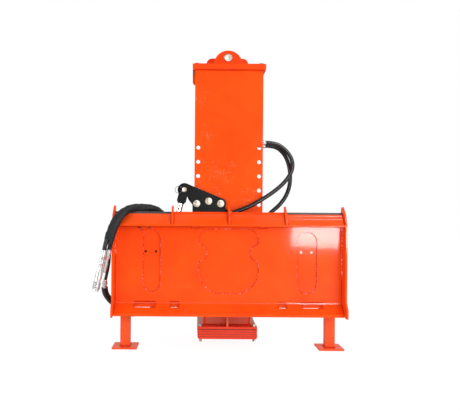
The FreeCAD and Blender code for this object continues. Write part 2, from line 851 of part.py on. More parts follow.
def vertical_bore(radius, z0, z1):
    return rod(radius, z1 - z0, (0, axis_y, z0), Z_AXIS)


def front_head():
    bushing_r = tool_r + bushing_gap + bushing_wall + running_gap
    body = cell_block(head_low_z, head_high_z, tie_rod_low_z - 10)
    cutters = [vertical_bore(bushing_r, head_low_z, lower_bushing_top_z),
               vertical_bore(tool_r + 4, lower_bushing_top_z, upper_bushing_low_z),
               vertical_bore(bushing_r, upper_bushing_low_z, head_high_z)]
    for side in (-1, 1):
        cutters.append(rod(retainer_pin_r + running_gap, 2 * cell_half,
                           (side * retainer_pin_x, cell_y0, retainer_pin_z), Y_AXIS))
    return body.cut(Part.makeCompound(cutters))


def tool_bushing(z0, z1, bore_r):
    outer = tool_r + bushing_gap + bushing_wall
    return ring(outer, bore_r, z1 - z0, (0, axis_y, z0), Z_AXIS)


def cell_cylinder():
    body = cell_block(head_high_z, cylinder_high_z, head_high_z)
    guide = vertical_bore(piston_r + running_gap, head_high_z, cylinder_high_z)
    chamber = vertical_bore(piston_head_r + running_gap, chamber_low_z, 800)
    grooves = [vertical_bore(seal_outer_r + running_gap, z, z + seal_height) for z in seal_z]
    return body.cut(Part.makeCompound([guide, chamber] + grooves))


def back_head():
    body = cell_block(cylinder_high_z, back_head_high_z, cylinder_high_z)
    return body.cut(vertical_bore(piston_head_r, cylinder_high_z, 1020))


def piston():
    shaft = vertical_bore(piston_r, piston_low_z, piston_high_z)
    head = vertical_bore(piston_head_r, chamber_low_z, chamber_low_z + 60)
    return fused(shaft, head)


def piston_seals():
    """Seal rings seated in the cylinder around the piston."""
    return [ring(seal_outer_r, piston_r + running_gap, seal_height, (0, axis_y, z), Z_AXIS) for z in seal_z]


def tie_rods():
    length = back_head_high_z + 24 - tie_rod_low_z
    return [rod(tie_rod_r, length, (x, y, tie_rod_low_z), Z_AXIS) for x, y in tie_rod_points()]


def tie_rod_nuts():
    nuts = []
    for x, y in tie_rod_points():
        nut = hexagon(x, y, back_head_high_z, 16.5, 20)
        nuts.append(nut.cut(rod(tie_rod_r + hole_gap, 20, (x, y, back_head_high_z), Z_AXIS)))
    return nuts


def valve_chest():
    body = block(cell_half, body_half_width - side_t - 4, axis_y - 55, axis_y + 55, 560, 740)
    return rounded(body, X_AXIS, 12)


def accumulator():
    shell = rod(52, body_half_width - side_t - 4 - cell_half, (-cell_half, axis_y, 650), -X_AXIS)
    return shell.makeFillet(8, [e for e in shell.Edges if e.Closed and e.CenterOfMass.x < -cell_half - 5])


def side_dampers():
    pads = []
    x0, x1 = cell_half, body_half_width - side_t
    for z in (150, 400):
        pads.append(block(x0, x1, axis_y - 50, axis_y + 50, z, z + 60))
        pads.append(block(-x1, -x0, axis_y - 50, axis_y + 50, z, z + 60))
    return pads


def end_dampers():
    pads = []
    for z in (150, 400, 940):
        pads.append(block(-50, 50, body_y + end_t, cell_y0, z, z + 60))
        pads.append(block(-50, 50, cell_y1, body_far_y - end_t, z, z + 60))
    return pads


damper_z = back_head_high_z


def top_damper():
    pad = block(-40, 40, axis_y - 90, axis_y + 90, damper_z, damper_z + damper_t)
    return rounded(pad, Z_AXIS, 12)


def stop_plate():
    half = body_half_width - side_t
    z0 = damper_z + damper_t
    return block(-half, half, body_y + end_t, body_far_y - end_t, z0, z0 + stop_plate_t)


def head_seat():
    """Flat ring that carries the front head on the base flange."""
    z0 = base_flange_top_z
    return ring(72, tool_hole_r, head_low_z - z0, (0, axis_y, z0), Z_AXIS)


def tool_retainer(side):
    pin = rod(retainer_pin_r, cell_y1 + 6 - (cell_y0 + 4), (side * retainer_pin_x, cell_y0 + 4, retainer_pin_z),
              Y_AXIS)
    return pin.makeChamfer(2, [e for e in pin.Edges if e.Closed])


def port_block():
    body = block(30, body_half_width - side_t, column_y + column_t, body_y, 990, 1075)
    return body


def feed_tubes():
    return [ring(10, 6, cell_y0 - body_y, (55, body_y, z), Y_AXIS) for z in (1012, 1052)]


# ---------------------------------------------------------------- hoses and their fittings

supply_route = [(188, supply_y, supply_z), (238, supply_y, supply_z), (293, 152, 1008), (327, 147, 955),
                (325, 138, 899), (287, 124, 842), (232, 111, 794), (172, 103, 754), (110, 100.3, 718),
                (60, 100.3, 698), (16, 100.3, 682)]
return_route = [(188, return_y, return_z), (238, return_y, return_z), (284, 177, 996), (309, 172, 944),
                (319, 167, 886), (316, 163, 826), (298, 160, 772), (263, 156, 724), (217, 153, 686),
                (178, 151.5, 642), (156, 151, 594)]
left_a_route = [(-330, 178, 556), (-330, 178, 604), (-337, 176, 644), (-360, 169, 675), (-398, 156, 696),
                (-442, 133, 708), (-481, 105, 711), (-517, 70, 700), (-544, 29, 675), (-567, -10, 636),
                (-583, -26, 594), (-593, -31, 556), (-600, -32, 528), (-606, -32, 499)]
left_b_route = [(-306, 178, 556), (-306, 178, 604), (-315, 176, 652), (-344, 167, 693), (-386, 144, 712),
                (-430, 115, 716), (-467, 87, 711), (-499, 54, 700), (-524, 19, 669), (-545, -14, 628),
                (-561, -26, 586), (-571, -28, 548), (-578, -24, 522), (-583, -20, 503)]
tilt_route = [(-440, 150, 440), (-440, 152, 392), (-436, 160, 338), (-430, 174, 284), (-426, 188, 238),
              (-429, 197, 200), (-441, 203, 170), (-465, 206, 151), (-496, 205, 147), (-526, 200, 160),
              (-553, 188, 186), (-580, 160, 214), (-602, 124, 244), (-615, 86, 277), (-616, 58, 315),
              (-607, 42, 357), (-596, 34, 400), (-589, 29, 442), (-587, 22, 484), (-587, 12, 522),
              (-588, -2, 556)]


def tube_along(points, diameter):
    """Round tube on straight runs joined by tangent arcs. Returns the solid and its smallest arc radius."""
    knots = [V(*p) for p in points]
    edges = []
    cursor = knots[0]
    least = 1e9
    for i in range(1, len(knots) - 1):
        before = (knots[i] - knots[i - 1]).normalize()
        after = (knots[i + 1] - knots[i]).normalize()
        half_turn = before.getAngle(after) / 2
        run = min(knots[i].distanceToPoint(knots[i - 1]), knots[i].distanceToPoint(knots[i + 1]))
        reach = 0.45 * run
        least = min(least, reach / math.tan(half_turn))
        start = knots[i] - before * reach
        end = knots[i] + after * reach
        inward = (after - before).normalize()
        radius = reach / math.tan(half_turn)
        middle = knots[i] + inward * (radius / math.cos(half_turn) - radius)
        edges.append(Part.LineSegment(cursor, start).toShape())
        edges.append(Part.Arc(start, middle, end).toShape())
        cursor = end
    edges.append(Part.LineSegment(cursor, knots[-1]).toShape())
    wire = Part.Wire(edges)
    first = (knots[1] - knots[0]).normalize()
    profile = Part.Wire(Part.makeCircle(diameter / 2, knots[0], first))
    solid = wire.makePipeShell([profile], True, True)
    return solid, least, wire.Length


def hose(node, points, diameter, *trim):
    solid, least, length = tube_along(points, diameter)
    ratio = solid.Volume / (math.pi * diameter * diameter / 4 * length)
    print(f"{node}: length {length:.0f}, smallest radius {least:.0f}, volume ratio {ratio:.4f}")
    save(node, solid, *trim)


def fitting(end, toward, sizes):
    """Turned and hexagonal lengths in a row, from a hose's end towards what it screws into.

    A length is (radius, length), or (width over flats, length, 6) for a hexagon.
    """
    axis = (V(*toward) - V(*end)).normalize()
    cursor = V(*end)
    pieces = []
    for radius, length, *sides in sizes:
        if sides:
            pieces.append(hexagonal_bar(radius, length, cursor, axis))
        else:
            pieces.append(Part.makeCylinder(radius, length, cursor, axis))
        cursor = cursor + axis * length
    return fused(*pieces)


def hexagonal_bar(over_flats, length, start, axis):
    """Hexagonal prism whose corners are turned down a little."""
    corner_r = over_flats / math.sqrt(3)
    corners = [V(corner_r * math.cos(math.radians(60 * i)), corner_r * math.sin(math.radians(60 * i)), 0)
               for i in range(7)]
    bar = Part.Face(Part.makePolygon(corners)).extrude(V(0, 0, length))
    round_bar = Part.makeCylinder(corner_r * 0.96, length)
    bar = bar.common(round_bar)
    bar.Placement = FreeCAD.Placement(start, FreeCAD.Rotation(V(0, 0, 1), axis))
    return bar


def end_direction(points):
    """The point past a route's last one, in line with its last run."""
    a, b = V(*points[-2]), V(*points[-1])
    return tuple(b + (b - a))


def start_direction(points):
    return end_direction(points[::-1])


def port_adapters():
    """Adapters from the port block out through the housing side to the two loops of hose."""
    solids = []
    keep_out = port_block()
    for route in (supply_route, return_route):
        body = fitting(route[0], start_direction(route), [(12.5, 22), (11.5, 12), (10, 60)])
        solids.append(body.cut(keep_out))
    return solids


def lower_adapters():
    supply = fitting(supply_route[-1], end_direction(supply_route), [(10, 14), (9, 30)]).cut(manifold())
    drop = fitting(return_route[-1], end_direction(return_route), [(12.5, 20), (9, 16)])
    return [supply, drop.cut(return_port())]


def return_port():
    return block(body_half_width, column_half_width, column_y + column_t, 166, 530, 575)


junction_left_x = -478.0
junction_right_x = -372.0
junction_low_z = 456.0
junction_top_z = 530.0
junction_arm_y = 166.0


def junction():
    """Bulkhead block behind the left slot, on a thin foot, with an arm that carries the couplers' two hoses."""
    foot_back_y = backing_back_y + 2
    foot = block(-430, -350, backing_back_y, foot_back_y, 470, 506)
    body = block(junction_left_x, junction_right_x, foot_back_y, junction_arm_y, junction_low_z,
                 junction_top_z)
    arm = block(junction_left_x, left_b_route[0][0] + 15, junction_arm_y, junction_arm_y + 26,
                junction_top_z - 30, junction_top_z)
    return fused(foot, rounded(body, Y_AXIS, 4), arm)


def junction_adapters():
    solids = []
    keep_out = junction()
    for route in (left_a_route, left_b_route):
        body = fitting(route[0], start_direction(route), [(11.7, 18), (9, 24)])
        solids.append(body.cut(keep_out))
    solids.append(fitting(tilt_route[0], start_direction(tilt_route), [(9, 24)]).cut(keep_out))
    return solids


def hose_cuff():
    """Oval cuff around the two coupler hoses, where their wrapping ends; the thin hose leaves from under it."""
    axis = (V(*left_a_route[9]) - V(*left_a_route[10])).normalize()
    hull = []
    for route in (left_a_route, left_b_route):
        hull.append(Part.makeCylinder(14, 26, V(*route[10]) - axis * 13, axis))
    thin_axis = (V(*tilt_route[-1]) - V(*tilt_route[-2])).normalize()
    hull.append(Part.makeCylinder(10, 34, V(*tilt_route[-1]), thin_axis))
    body = fused(*hull)
    for route in (left_a_route, left_b_route):
        solid, least, length = tube_along(route, hose_d + 2 * hose_gap)
        body = body.cut(solid)
    return body


def coupler_length(sizes):
    return sum(size[1] for size in sizes)


def coupler(route, sizes):
    return fitting(route[-1], end_direction(route), sizes)


def large_coupler():
    """The larger half, with a groove round the flat face of its valve."""
    body = coupler(left_a_route, coupler_a_sizes)
    axis = (V(*left_a_route[-1]) - V(*left_a_route[-2])).normalize()
    outer_r, inner_r, depth = face_groove
    start = V(*left_a_route[-1]) + axis * (coupler_length(coupler_a_sizes) - depth)
    groove = Part.makeCylinder(outer_r, depth, start, axis).cut(Part.makeCylinder(inner_r, depth, start, axis))
    return body.cut(groove)


crimped_ferrule = [(12.5, 3), (11.7, 1.5), (12.5, 3), (11.7, 1.5), (12.5, 3), (11.7, 1.5), (12.5, 3),
                   (11.7, 1.5), (12.5, 6)]
coupler_a_sizes = crimped_ferrule + [
    (10, 8), (23, 16, 6), (9.4, 4), (11, 12), (9.4, 3), (20, 10, 6), (9.4, 3), (11, 14), (9.4, 8),
    (14, 3), (12.8, 2), (14, 3), (17, 6), (15.8, 2), (17, 6), (15.8, 2), (17, 6), (15.8, 2), (17, 10),
    (14.5, 56), (13.3, 2)]
coupler_b_sizes = crimped_ferrule + [
    (10, 8), (23, 14, 6), (9.4, 4), (11, 12), (9.4, 6), (13, 3), (12, 2), (13, 5),
    (12, 20), (11, 2), (12, 14), (10.5, 6)]
nose_length = 58.0
face_groove = (10.5, 7.5, 6.0)      # outer radius, inner radius and depth round the flat valve face
sleeve_steps = [(17.4, 1.5), (18, 3), (17.2, 1.5), (18, 19), (17.2, 1.5), (18, 6), (17.4, 1.5)]
sleeve_length = sum(length for radius, length in sleeve_steps)
nose_r = 14.5


def coupler_sleeve():
    """Ring on the larger coupler, drawn back towards the hose to let the other half go."""
    axis = (V(*left_a_route[-1]) - V(*left_a_route[-2])).normalize()
    start = V(*left_a_route[-1]) + axis * (coupler_length(coupler_a_sizes) - nose_length + 14)
    outer = fitting(tuple(start), tuple(start + axis), sleeve_steps)
    return outer.cut(Part.makeCylinder(nose_r + running_gap, sleeve_length, start, axis))


# ---------------------------------------------------------------- build

def build_frame():
    save("qa_plate", qa_plate())
    save("top_lip", fused(top_lip(), lip_tab(-1), lip_tab(1)))
    save("end_plates", end_plate(), mirrored(end_plate()))
    save("lip_ribs", *[lip_rib(x) for x in (-rib_pitch, 0, rib_pitch)])
    save("edge_guards", edge_guard(), mirrored(edge_guard()))
    save("top_stiffener", block(-guard_inner_x, guard_inner_x, plate_back_y, guard_back_y,
                                guard_low_z, guard_top_z))
    save("backing_plate", backing_plate())
    save("leg_sockets", leg_socket(-1), leg_socket(1))
    for name, side in (("left", -1), ("right", 1)):
        save("leg_" + name, parking_leg(side))
        save("stop_pin_" + name, stop_pin(side))
    pin = rod(pivot_pin_r, pivot_end_y - hub_y, (0, hub_y, pivot_z), Y_AXIS)
    washer = ring(boss_r, pivot_pin_r + running_gap, thrust_t, (0, hub_y + hub_t, pivot_z), Y_AXIS)
    save("pivot_hub", pivot_hub())
    save("pivot_pin", pin, pivot_retainer())
    save("guide_channel", guide_channel())
    save("wear_pads", wear_pad(-1), wear_pad(1), washer)
    save("cylinder_lug", base_lug(), base_pin_solid())
    save("hose_junction", junction())
    save("junction_adapters", *junction_adapters())


def build_housing():
    save("column_plate", column_plate())
    save("centre_rib", centre_rib())
    save("pivot_boss", pivot_boss())
    save("housing_side_right", housing_side(1))
    save("housing_side_left", housing_side(-1))
    save("housing_near", housing_near(), stop_plate(), head_seat())
    save("housing_far", housing_far())
    save("base_flange", base_layer(base_flange_z, base_flange_top_z, base_half_width, 6))
    save("base_stack", *base_stack(), base_shim())
    save("housing_bolts", *base_bolts(), *cap_bolts(), *cap_nuts())
    save("heel_pad", heel_pad())
    save("corner_gussets", *base_gussets(), *cap_gussets())
    save("cap_plates", cap_flange(), cap_plate())
    save("lifting_lugs", lug_front(), lug_rear())
    save("lug_pin", lug_pin())
    save("crank_bracket", crank_bracket())
    save("crank_bolts", *crank_bolt_set(), *crank_nuts())
    save("manifolds", manifold(), port_block(), return_port())


def build_cylinder():
    save("clevis", clevis())
    save("clevis_pin", clevis_pin(), ring_shape(ring_wire_r))
    save("tilt_rod", tilt_rod())
    save("tilt_barrel", tilt_barrel())


def build_power_cell():
    bore_r = tool_r + bushing_gap
    save("front_head", front_head())
    save("tool_bushings", tool_bushing(base_low_z + 8, lower_bushing_top_z, bore_r),
         tool_bushing(upper_bushing_low_z, head_high_z, bore_r))
    save("cell_cylinder", cell_cylinder())
    save("back_head", back_head())
    save("piston", piston())
    save("piston_seals", *piston_seals())
    save("tie_rods", *tie_rods(), *tie_rod_nuts())
    save("valve_and_accumulator", valve_chest(), accumulator())
    save("dampers", *side_dampers(), *end_dampers(), top_damper())
    save("tool_retainer_left", tool_retainer(-1))
    save("tool_retainer_right", tool_retainer(1))


def build_hoses():
    save("hose_adapters", *port_adapters(), *lower_adapters(), *feed_tubes())
    hose("hose_supply", supply_route, hose_d)
    hose("hose_return", return_route, hose_d)
    hose("hose_left_a", left_a_route, hose_d)
    hose("hose_left_b", left_b_route, hose_d, hose_cuff())
    hose("hose_tilt", tilt_route, tilt_hose_d)
    save("couplers", large_coupler(), coupler(left_b_route, coupler_b_sizes))
    save("coupler_sleeve", coupler_sleeve())


build_frame()
build_housing()
build_cylinder()
build_power_cell()
build_hoses()
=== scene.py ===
"""Looks of a side-tilting hydraulic breaker: paint, welds, bolts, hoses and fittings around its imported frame.

Lengths are metres. drawn() takes a point as the maker's drawing gives it, with depth counted from the straight
front edges of the frame's end plates, and returns it in the part's own frame.
"""

import json
import math
import random

import bmesh
import bpy
from mathutils import Matrix, Vector


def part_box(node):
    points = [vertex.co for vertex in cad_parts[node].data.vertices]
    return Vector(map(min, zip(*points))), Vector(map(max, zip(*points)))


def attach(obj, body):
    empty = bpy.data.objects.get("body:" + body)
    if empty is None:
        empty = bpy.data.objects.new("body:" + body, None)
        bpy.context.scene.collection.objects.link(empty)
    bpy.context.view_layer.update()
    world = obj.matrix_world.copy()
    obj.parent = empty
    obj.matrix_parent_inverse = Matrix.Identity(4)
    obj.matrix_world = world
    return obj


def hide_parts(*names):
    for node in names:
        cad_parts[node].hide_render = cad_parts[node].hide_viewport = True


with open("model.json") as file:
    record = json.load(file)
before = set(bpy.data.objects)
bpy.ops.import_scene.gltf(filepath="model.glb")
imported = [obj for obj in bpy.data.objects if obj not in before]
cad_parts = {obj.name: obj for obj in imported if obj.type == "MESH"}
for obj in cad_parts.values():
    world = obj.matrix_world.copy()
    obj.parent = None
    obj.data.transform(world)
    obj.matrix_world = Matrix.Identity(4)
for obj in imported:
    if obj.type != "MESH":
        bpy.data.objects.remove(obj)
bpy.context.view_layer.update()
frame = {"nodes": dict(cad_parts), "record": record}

TIP_REACH = 0.032          # the end plates' lower tips stand this far in front of their straight edges
DEPTH_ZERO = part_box("end_plates")[0].y + TIP_REACH
UP = Vector((0, 0, 1))
RIGHT = Vector((1, 0, 0))
AWAY = Vector((0, 1, 0))
HOSE_D = 0.021
THIN_HOSE_D = 0.015
EDGE_ANGLE = math.radians(28)


def drawn(x, y, z):
    return Vector((x, y + DEPTH_ZERO, z))


def path(*points):
    """Drawn points in a row."""
    return [drawn(*point) for point in points]


# ---- node trees ----

def add(tree, kind, inputs=None, **settings):
    """Adds a node; each of its inputs is given a value, or the socket that feeds it."""
    node = tree.nodes.new(kind)
    for name, value in settings.items():
        setattr(node, name, value)
    for name, value in (inputs or {}).items():
        if isinstance(value, bpy.types.NodeSocket):
            tree.links.new(value, node.inputs[name])
        else:
            node.inputs[name].default_value = value
    return node


def blank_material(name, colour, roughness, metallic=0.0, specular=0.5):
    """A material with one principled shader, and its tree."""
    material = bpy.data.materials.new(name)
    material.use_nodes = True
    tree = material.node_tree
    shader = tree.nodes["Principled BSDF"]
    shader.inputs["Base Color"].default_value = (*colour, 1)
    shader.inputs["Roughness"].default_value = roughness
    shader.inputs["Metallic"].default_value = metallic
    shader.inputs["Specular IOR Level"].default_value = specular
    return material, tree, shader


def on_object(tree, stretch=(1, 1, 1), turn=(0, 0, 0)):
    """Object coordinates, stretched and turned."""
    place = add(tree, "ShaderNodeTexCoord").outputs["Object"]
    values = {"Vector": place, "Scale": stretch, "Rotation": turn}
    return add(tree, "ShaderNodeMapping", values).outputs["Vector"]


def noise(tree, vector, scale, detail, roughness, distortion=0.0):
    values = {"Vector": vector, "Scale": scale, "Detail": detail, "Roughness": roughness,
              "Distortion": distortion}
    return add(tree, "ShaderNodeTexNoise", values).outputs["Fac"]


def bands(tree, vector, direction, scale, distortion=0.0, detail=1.0):
    """Even waves across a vector."""
    values = {"Vector": vector, "Scale": scale, "Distortion": distortion, "Detail": detail}
    return add(tree, "ShaderNodeTexWave", values, wave_type="BANDS", bands_direction=direction).outputs["Fac"]


def ramp(tree, value, start, stop, low=0.0, high=1.0):
    """Rises from one grey level to another between two positions."""
    node = add(tree, "ShaderNodeValToRGB", {"Fac": value})
    for element, position, level in zip(node.color_ramp.elements, (start, stop), (low, high)):
        element.position = position
        element.color = (level, level, level, 1)
    return node.outputs["Color"]


def calculated(tree, operation, a, b):
    return add(tree, "ShaderNodeMath", {0: a, 1: b}, operation=operation).outputs["Value"]


def product(tree, a, b):
    return calculated(tree, "MULTIPLY", a, b)


def tint(tree, factor, under, over):
    """Mixes from one colour, or colour socket, to another."""
    under, over = ((*c, 1) if isinstance(c, tuple) else c for c in (under, over))
    return add(tree, "ShaderNodeMix", {"Factor": factor, 6: under, 7: over}, data_type="RGBA").outputs[2]


def spread(tree, value, low, high):
    """Turns a 0 to 1 value into a number between low and high."""
    return add(tree, "ShaderNodeMapRange", {"Value": value, "To Min": low, "To Max": high}).outputs["Result"]


def bump(tree, shader, height, distance, strength, below=None):
    values = {"Strength": strength, "Distance": distance, "Height": height}
    if below is not None:
        values["Normal"] = below
    normal = add(tree, "ShaderNodeBump", values).outputs["Normal"]
    tree.links.new(normal, shader.inputs["Normal"])
    return normal


def mottled(tree, shader, value, start, stop, colours, roughness=None):
    """Takes a shader from one colour to the other as value rises, and its roughness between two limits."""
    tree.links.new(tint(tree, ramp(tree, value, start, stop), *colours), shader.inputs["Base Color"])
    if roughness is not None:
        tree.links.new(spread(tree, value, *roughness), shader.inputs["Roughness"])


# ---- materials ----

def powder_coat(name, colour, deep, scuffed=0.0, dust_and_sheen_below=None, painted_glints=0.0, dust=1.0, coat=(0.16, 1.5)):
    """Orange enamel: fine orange peel, slightly wavy sheet, cloudy tone and fine pale handling scuffs.

    Under the height given for dust, the paint is tinted pale grey by the share that dust gives: road dust, and
    on the corner gussets also a painted sheen that stands for the white room's pale reflection.
    The glint share sets how pale the painted highlight specks on the crests of weld ripples are, and coat is
    the clear coat's weight and index.
    """
    material, tree, shader = blank_material(name, colour, 0.38, specular=0.02)
    plain = on_object(tree)
    tone = tint(tree, ramp(tree, noise(tree, plain, 5.0, 4.0, 0.6, 0.4), 0.35, 0.7), colour, deep)
    upright, slanted = on_object(tree, (26, 26, 2.2)), on_object(tree, (3, 3, 34), (0.0, 0.5, 0.0))
    streaks = ramp(tree, noise(tree, upright, 9.0, 2.0, 0.4, 0.6), 0.62, 0.69)
    swipes = ramp(tree, noise(tree, slanted, 7.0, 2.0, 0.4, 0.8), 0.63, 0.70)
    patches = ramp(tree, noise(tree, plain, 7.5, 2.0, 0.5, 0.3), 0.50, 0.64)
    marks = product(tree, product(tree, calculated(tree, "MAXIMUM", streaks, swipes), patches), scuffed)
    tone = tint(tree, marks, tone, (0.98, 0.34, 0.2))
    # Pale grey tint low down: road dust, and on the corner gussets also painted sheen for the white room's pale
    # reflection.
    if dust_and_sheen_below is not None:
        height = add(tree, "ShaderNodeSeparateXYZ", {0: plain}).outputs["Z"]
        dust_and_sheen_cloud = ramp(tree, noise(tree, plain, 22.0, 4.0, 0.6), 0.25, 0.7, 0.7 * dust, dust)
        dust_and_sheen_mask = product(tree, dust_and_sheen_cloud, calculated(tree, "LESS_THAN", height, dust_and_sheen_below))
        tone = tint(tree, dust_and_sheen_mask, tone, (0.56, 0.48, 0.42))
    # Pale specks tinted into the colour: painted highlights, standing in for the gloss on the crests of weld
    # ripples.
    if painted_glints:
        painted_highlight_specks = ramp(tree, noise(tree, plain, 130.0, 3.0, 0.6), 0.54, 0.60)
        tone = tint(tree, product(tree, painted_highlight_specks, painted_glints), tone, (1.0, 0.8, 0.74))
    wave = bump(tree, shader, noise(tree, plain, 4.5, 1.0, 0.4), 0.0006, 0.2)
    bump(tree, shader, noise(tree, plain, 420.0, 2.0, 0.5), 0.00003, 0.35, wave)
    roughness = spread(tree, noise(tree, plain, 42.0, 6.0, 0.7), 0.3, 0.46)
    for socket, source in (("Base Color", tone), ("Roughness", roughness), ("Coat Normal", wave)):
        tree.links.new(source, shader.inputs[socket])
    for socket, value in (("Coat Weight", coat[0]), ("Coat IOR", coat[1]), ("Coat Roughness", 0.07)):
        shader.inputs[socket].default_value = value
    return material


def bare_steel(name, colour, roughness, grain=(1, 1, 60)):
    """Turned or ground steel with fine lines and a little staining."""
    material, tree, shader = blank_material(name, colour, roughness, 1.0)
    stain = noise(tree, on_object(tree), 60.0, 4.0, 0.6)
    darker = tuple(c * 0.62 for c in colour)
    mottled(tree, shader, stain, 0.4, 0.72, (colour, darker), (roughness - 0.06, roughness + 0.12))
    bump(tree, shader, noise(tree, on_object(tree, grain), 90.0, 3.0, 0.6), 0.0001, 0.4)
    return material


def plated(name, colour, roughness):
    """Zinc plating, with a faint mottle."""
    material, tree, shader = blank_material(name, colour, roughness, 0.85)
    cloud = noise(tree, on_object(tree), 160.0, 3.0, 0.6)
    paler = tuple(min(1.0, c * 1.12) for c in colour)
    mottled(tree, shader, cloud, 0.3, 0.7, (colour, paler), (roughness - 0.05, roughness + 0.1))
    bump(tree, shader, cloud, 0.00008, 0.3)
    return material


def knurled():
    """Zinc-plated ring with a diamond knurl, which follows the coupler's lean."""
    material, tree, shader = blank_material("knurled_zinc", (0.56, 0.56, 0.55), 0.3, 0.85)
    lean = -0.205
    one, other = (bands(tree, on_object(tree, turn=(slant, lean, 0.0)), "Z", 110.0) for slant in (0.6, -0.6))
    # The pattern colours the knurl's grooves darker and its crests paler: painted shade and painted highlight.
    diamonds = product(tree, one, other)
    tree.links.new(tint(tree, diamonds, (0.34, 0.34, 0.34), (0.74, 0.74, 0.73)), shader.inputs["Base Color"])
    tree.links.new(spread(tree, diamonds, 0.45, 0.25), shader.inputs["Roughness"])
    bump(tree, shader, diamonds, 0.0005, 0.8)
    return material


def chrome():
    material, tree, shader = blank_material("hard_chrome", (0.7, 0.71, 0.73), 0.07, 1.0)
    rings = noise(tree, on_object(tree, (1, 1, 40)), 120.0, 2.0, 0.5)
    tree.links.new(spread(tree, rings, 0.05, 0.13), shader.inputs["Roughness"])
    bump(tree, shader, rings, 0.00003, 0.2)
    return material


def black_enamel():
    """Black paint on cast and cut plate, slightly rough, dusty in places."""
    material, tree, shader = blank_material("black_enamel", (0.006, 0.006, 0.007), 0.42, specular=0.14)
    plain = on_object(tree)
    dust = noise(tree, plain, 70.0, 5.0, 0.65)
    mottled(tree, shader, dust, 0.5, 0.78, ((0.003, 0.003, 0.004), (0.012, 0.0125, 0.0135)), (0.3, 0.6))
    bump(tree, shader, noise(tree, plain, 300.0, 3.0, 0.6), 0.0002, 0.5)
    return material


def dark_strip_paint():
    """Satin slate coating on the strips along the frame's top."""
    material, tree, shader = blank_material("dark_strip", (0.04, 0.055, 0.062), 0.5, specular=0.3)
    wear = noise(tree, on_object(tree, (4, 30, 30)), 8.0, 4.0, 0.6)
    mottled(tree, shader, wear, 0.4, 0.7, ((0.026, 0.036, 0.042), (0.085, 0.105, 0.115)))
    bump(tree, shader, noise(tree, on_object(tree), 500.0, 2.0, 0.5), 0.00015, 0.4)
    return material


def hose_cover():
    """Black rubber hose cover with the fine cross-hatch that its curing wrap leaves."""
    material, tree, shader = blank_material("hose_cover", (0.006, 0.007, 0.008), 0.32, specular=0.32)
    one = noise(tree, on_object(tree, (60, 60, 900), (0.5, 0.3, 0.0)), 1.0, 1.0, 0.4)
    other = noise(tree, on_object(tree, (900, 60, 60), (0.2, -0.6, 0.3)), 1.0, 1.0, 0.4)
    dust = noise(tree, on_object(tree), 55.0, 4.0, 0.6)
    mottled(tree, shader, dust, 0.45, 0.75, ((0.004, 0.005, 0.006), (0.014, 0.016, 0.018)), (0.24, 0.42))
    bump(tree, shader, product(tree, one, other), 0.0005, 0.5)
    return material


def woven_nylon():
    """Black ballistic nylon: a plain weave whose threads follow the wrap's own length and girth."""
    material, tree, shader = blank_material("woven_nylon", (0.007, 0.009, 0.011), 0.62, specular=0.22)
    weave = add(tree, "ShaderNodeUVMap", uv_map="girth_and_length").outputs["UV"]
    cloth = product(tree, *(bands(tree, weave, direction, 60.0, 0.4) for direction in "XY"))
    plain = on_object(tree)
    dust = ramp(tree, noise(tree, plain, 30.0, 5.0, 0.65), 0.4, 0.72)
    worn = tint(tree, dust, (0.005, 0.0065, 0.008), (0.018, 0.022, 0.026))
    tree.links.new(tint(tree, cloth, worn, (0.014, 0.0175, 0.020)), shader.inputs["Base Color"])
    low = bump(tree, shader, noise(tree, plain, 38.0, 2.0, 0.5, 0.4), 0.004, 0.3)
    bump(tree, shader, cloth, 0.0004, 0.6, low)
    return material


def moulded(name, colour, roughness, grain):
    """Moulded rubber or plastic with a fine grain."""
    material, tree, shader = blank_material(name, colour, roughness)
    plain = on_object(tree)
    dust = noise(tree, plain, 40.0, 4.0, 0.6)
    paler = tuple(c * 1.8 + 0.01 for c in colour)
    mottled(tree, shader, dust, 0.45, 0.8, (colour, paler), (roughness - 0.08, roughness + 0.08))
    bump(tree, shader, noise(tree, plain, grain, 3.0, 0.5), 0.0002, 0.5)
    return material


ORANGE = (0.95, 0.092, 0.006)
DEEP_ORANGE = (0.93, 0.068, 0.005)
paint = powder_coat("orange_enamel", ORANGE, DEEP_ORANGE, 0.08)
column_paint = powder_coat("orange_enamel_handled", ORANGE, DEEP_ORANGE, 0.5)
# Gusset paint: its pale tint below 0.3 m is road dust and also painted sheen, the pale reflection of the white
# room.
dust_and_sheen_paint = powder_coat("orange_enamel_dust_and_sheen", ORANGE, DEEP_ORANGE, 0.3, 0.3)
# Darker orange on the cap and lugs: painted shade for the less lit top.
cap_shade_paint = powder_coat("orange_enamel_cap_shaded", (0.93, 0.07, 0.007), (0.9, 0.055, 0.006), 0.1)
# Paler orange on the legs: painted sheen, the pale reflection along their sides.
leg_sheen_paint = powder_coat("orange_enamel_pale_sheen", (0.96, 0.125, 0.034), (0.95, 0.105, 0.024), 0.2)
# Deeper, redder orange on the bottom plates and flange: painted shade of the low, less lit base.
base_shade_paint = powder_coat("orange_enamel_base_shaded", (0.86, 0.07, 0.03), (0.82, 0.055, 0.024), 0.2)
pocket_paint = powder_coat("orange_enamel_pocket", ORANGE, DEEP_ORANGE, 0.2, 0.3, dust=0.32)
# Darker orange for weld beads and cut-edge lines: painted shade in the seams.
seam_shade_paint = powder_coat("orange_enamel_painted_seam_shade", (0.72, 0.026, 0.004), (0.55, 0.018, 0.004))
# Darker orange with pale specks on the window beads: painted shade in the window recesses and painted
# highlights on the beads.
window_edge_shade_and_glint_paint = powder_coat("orange_enamel_cut_edge_shade_and_glints", (0.78, 0.03, 0.005), (0.66, 0.022, 0.004), painted_glints=0.62)
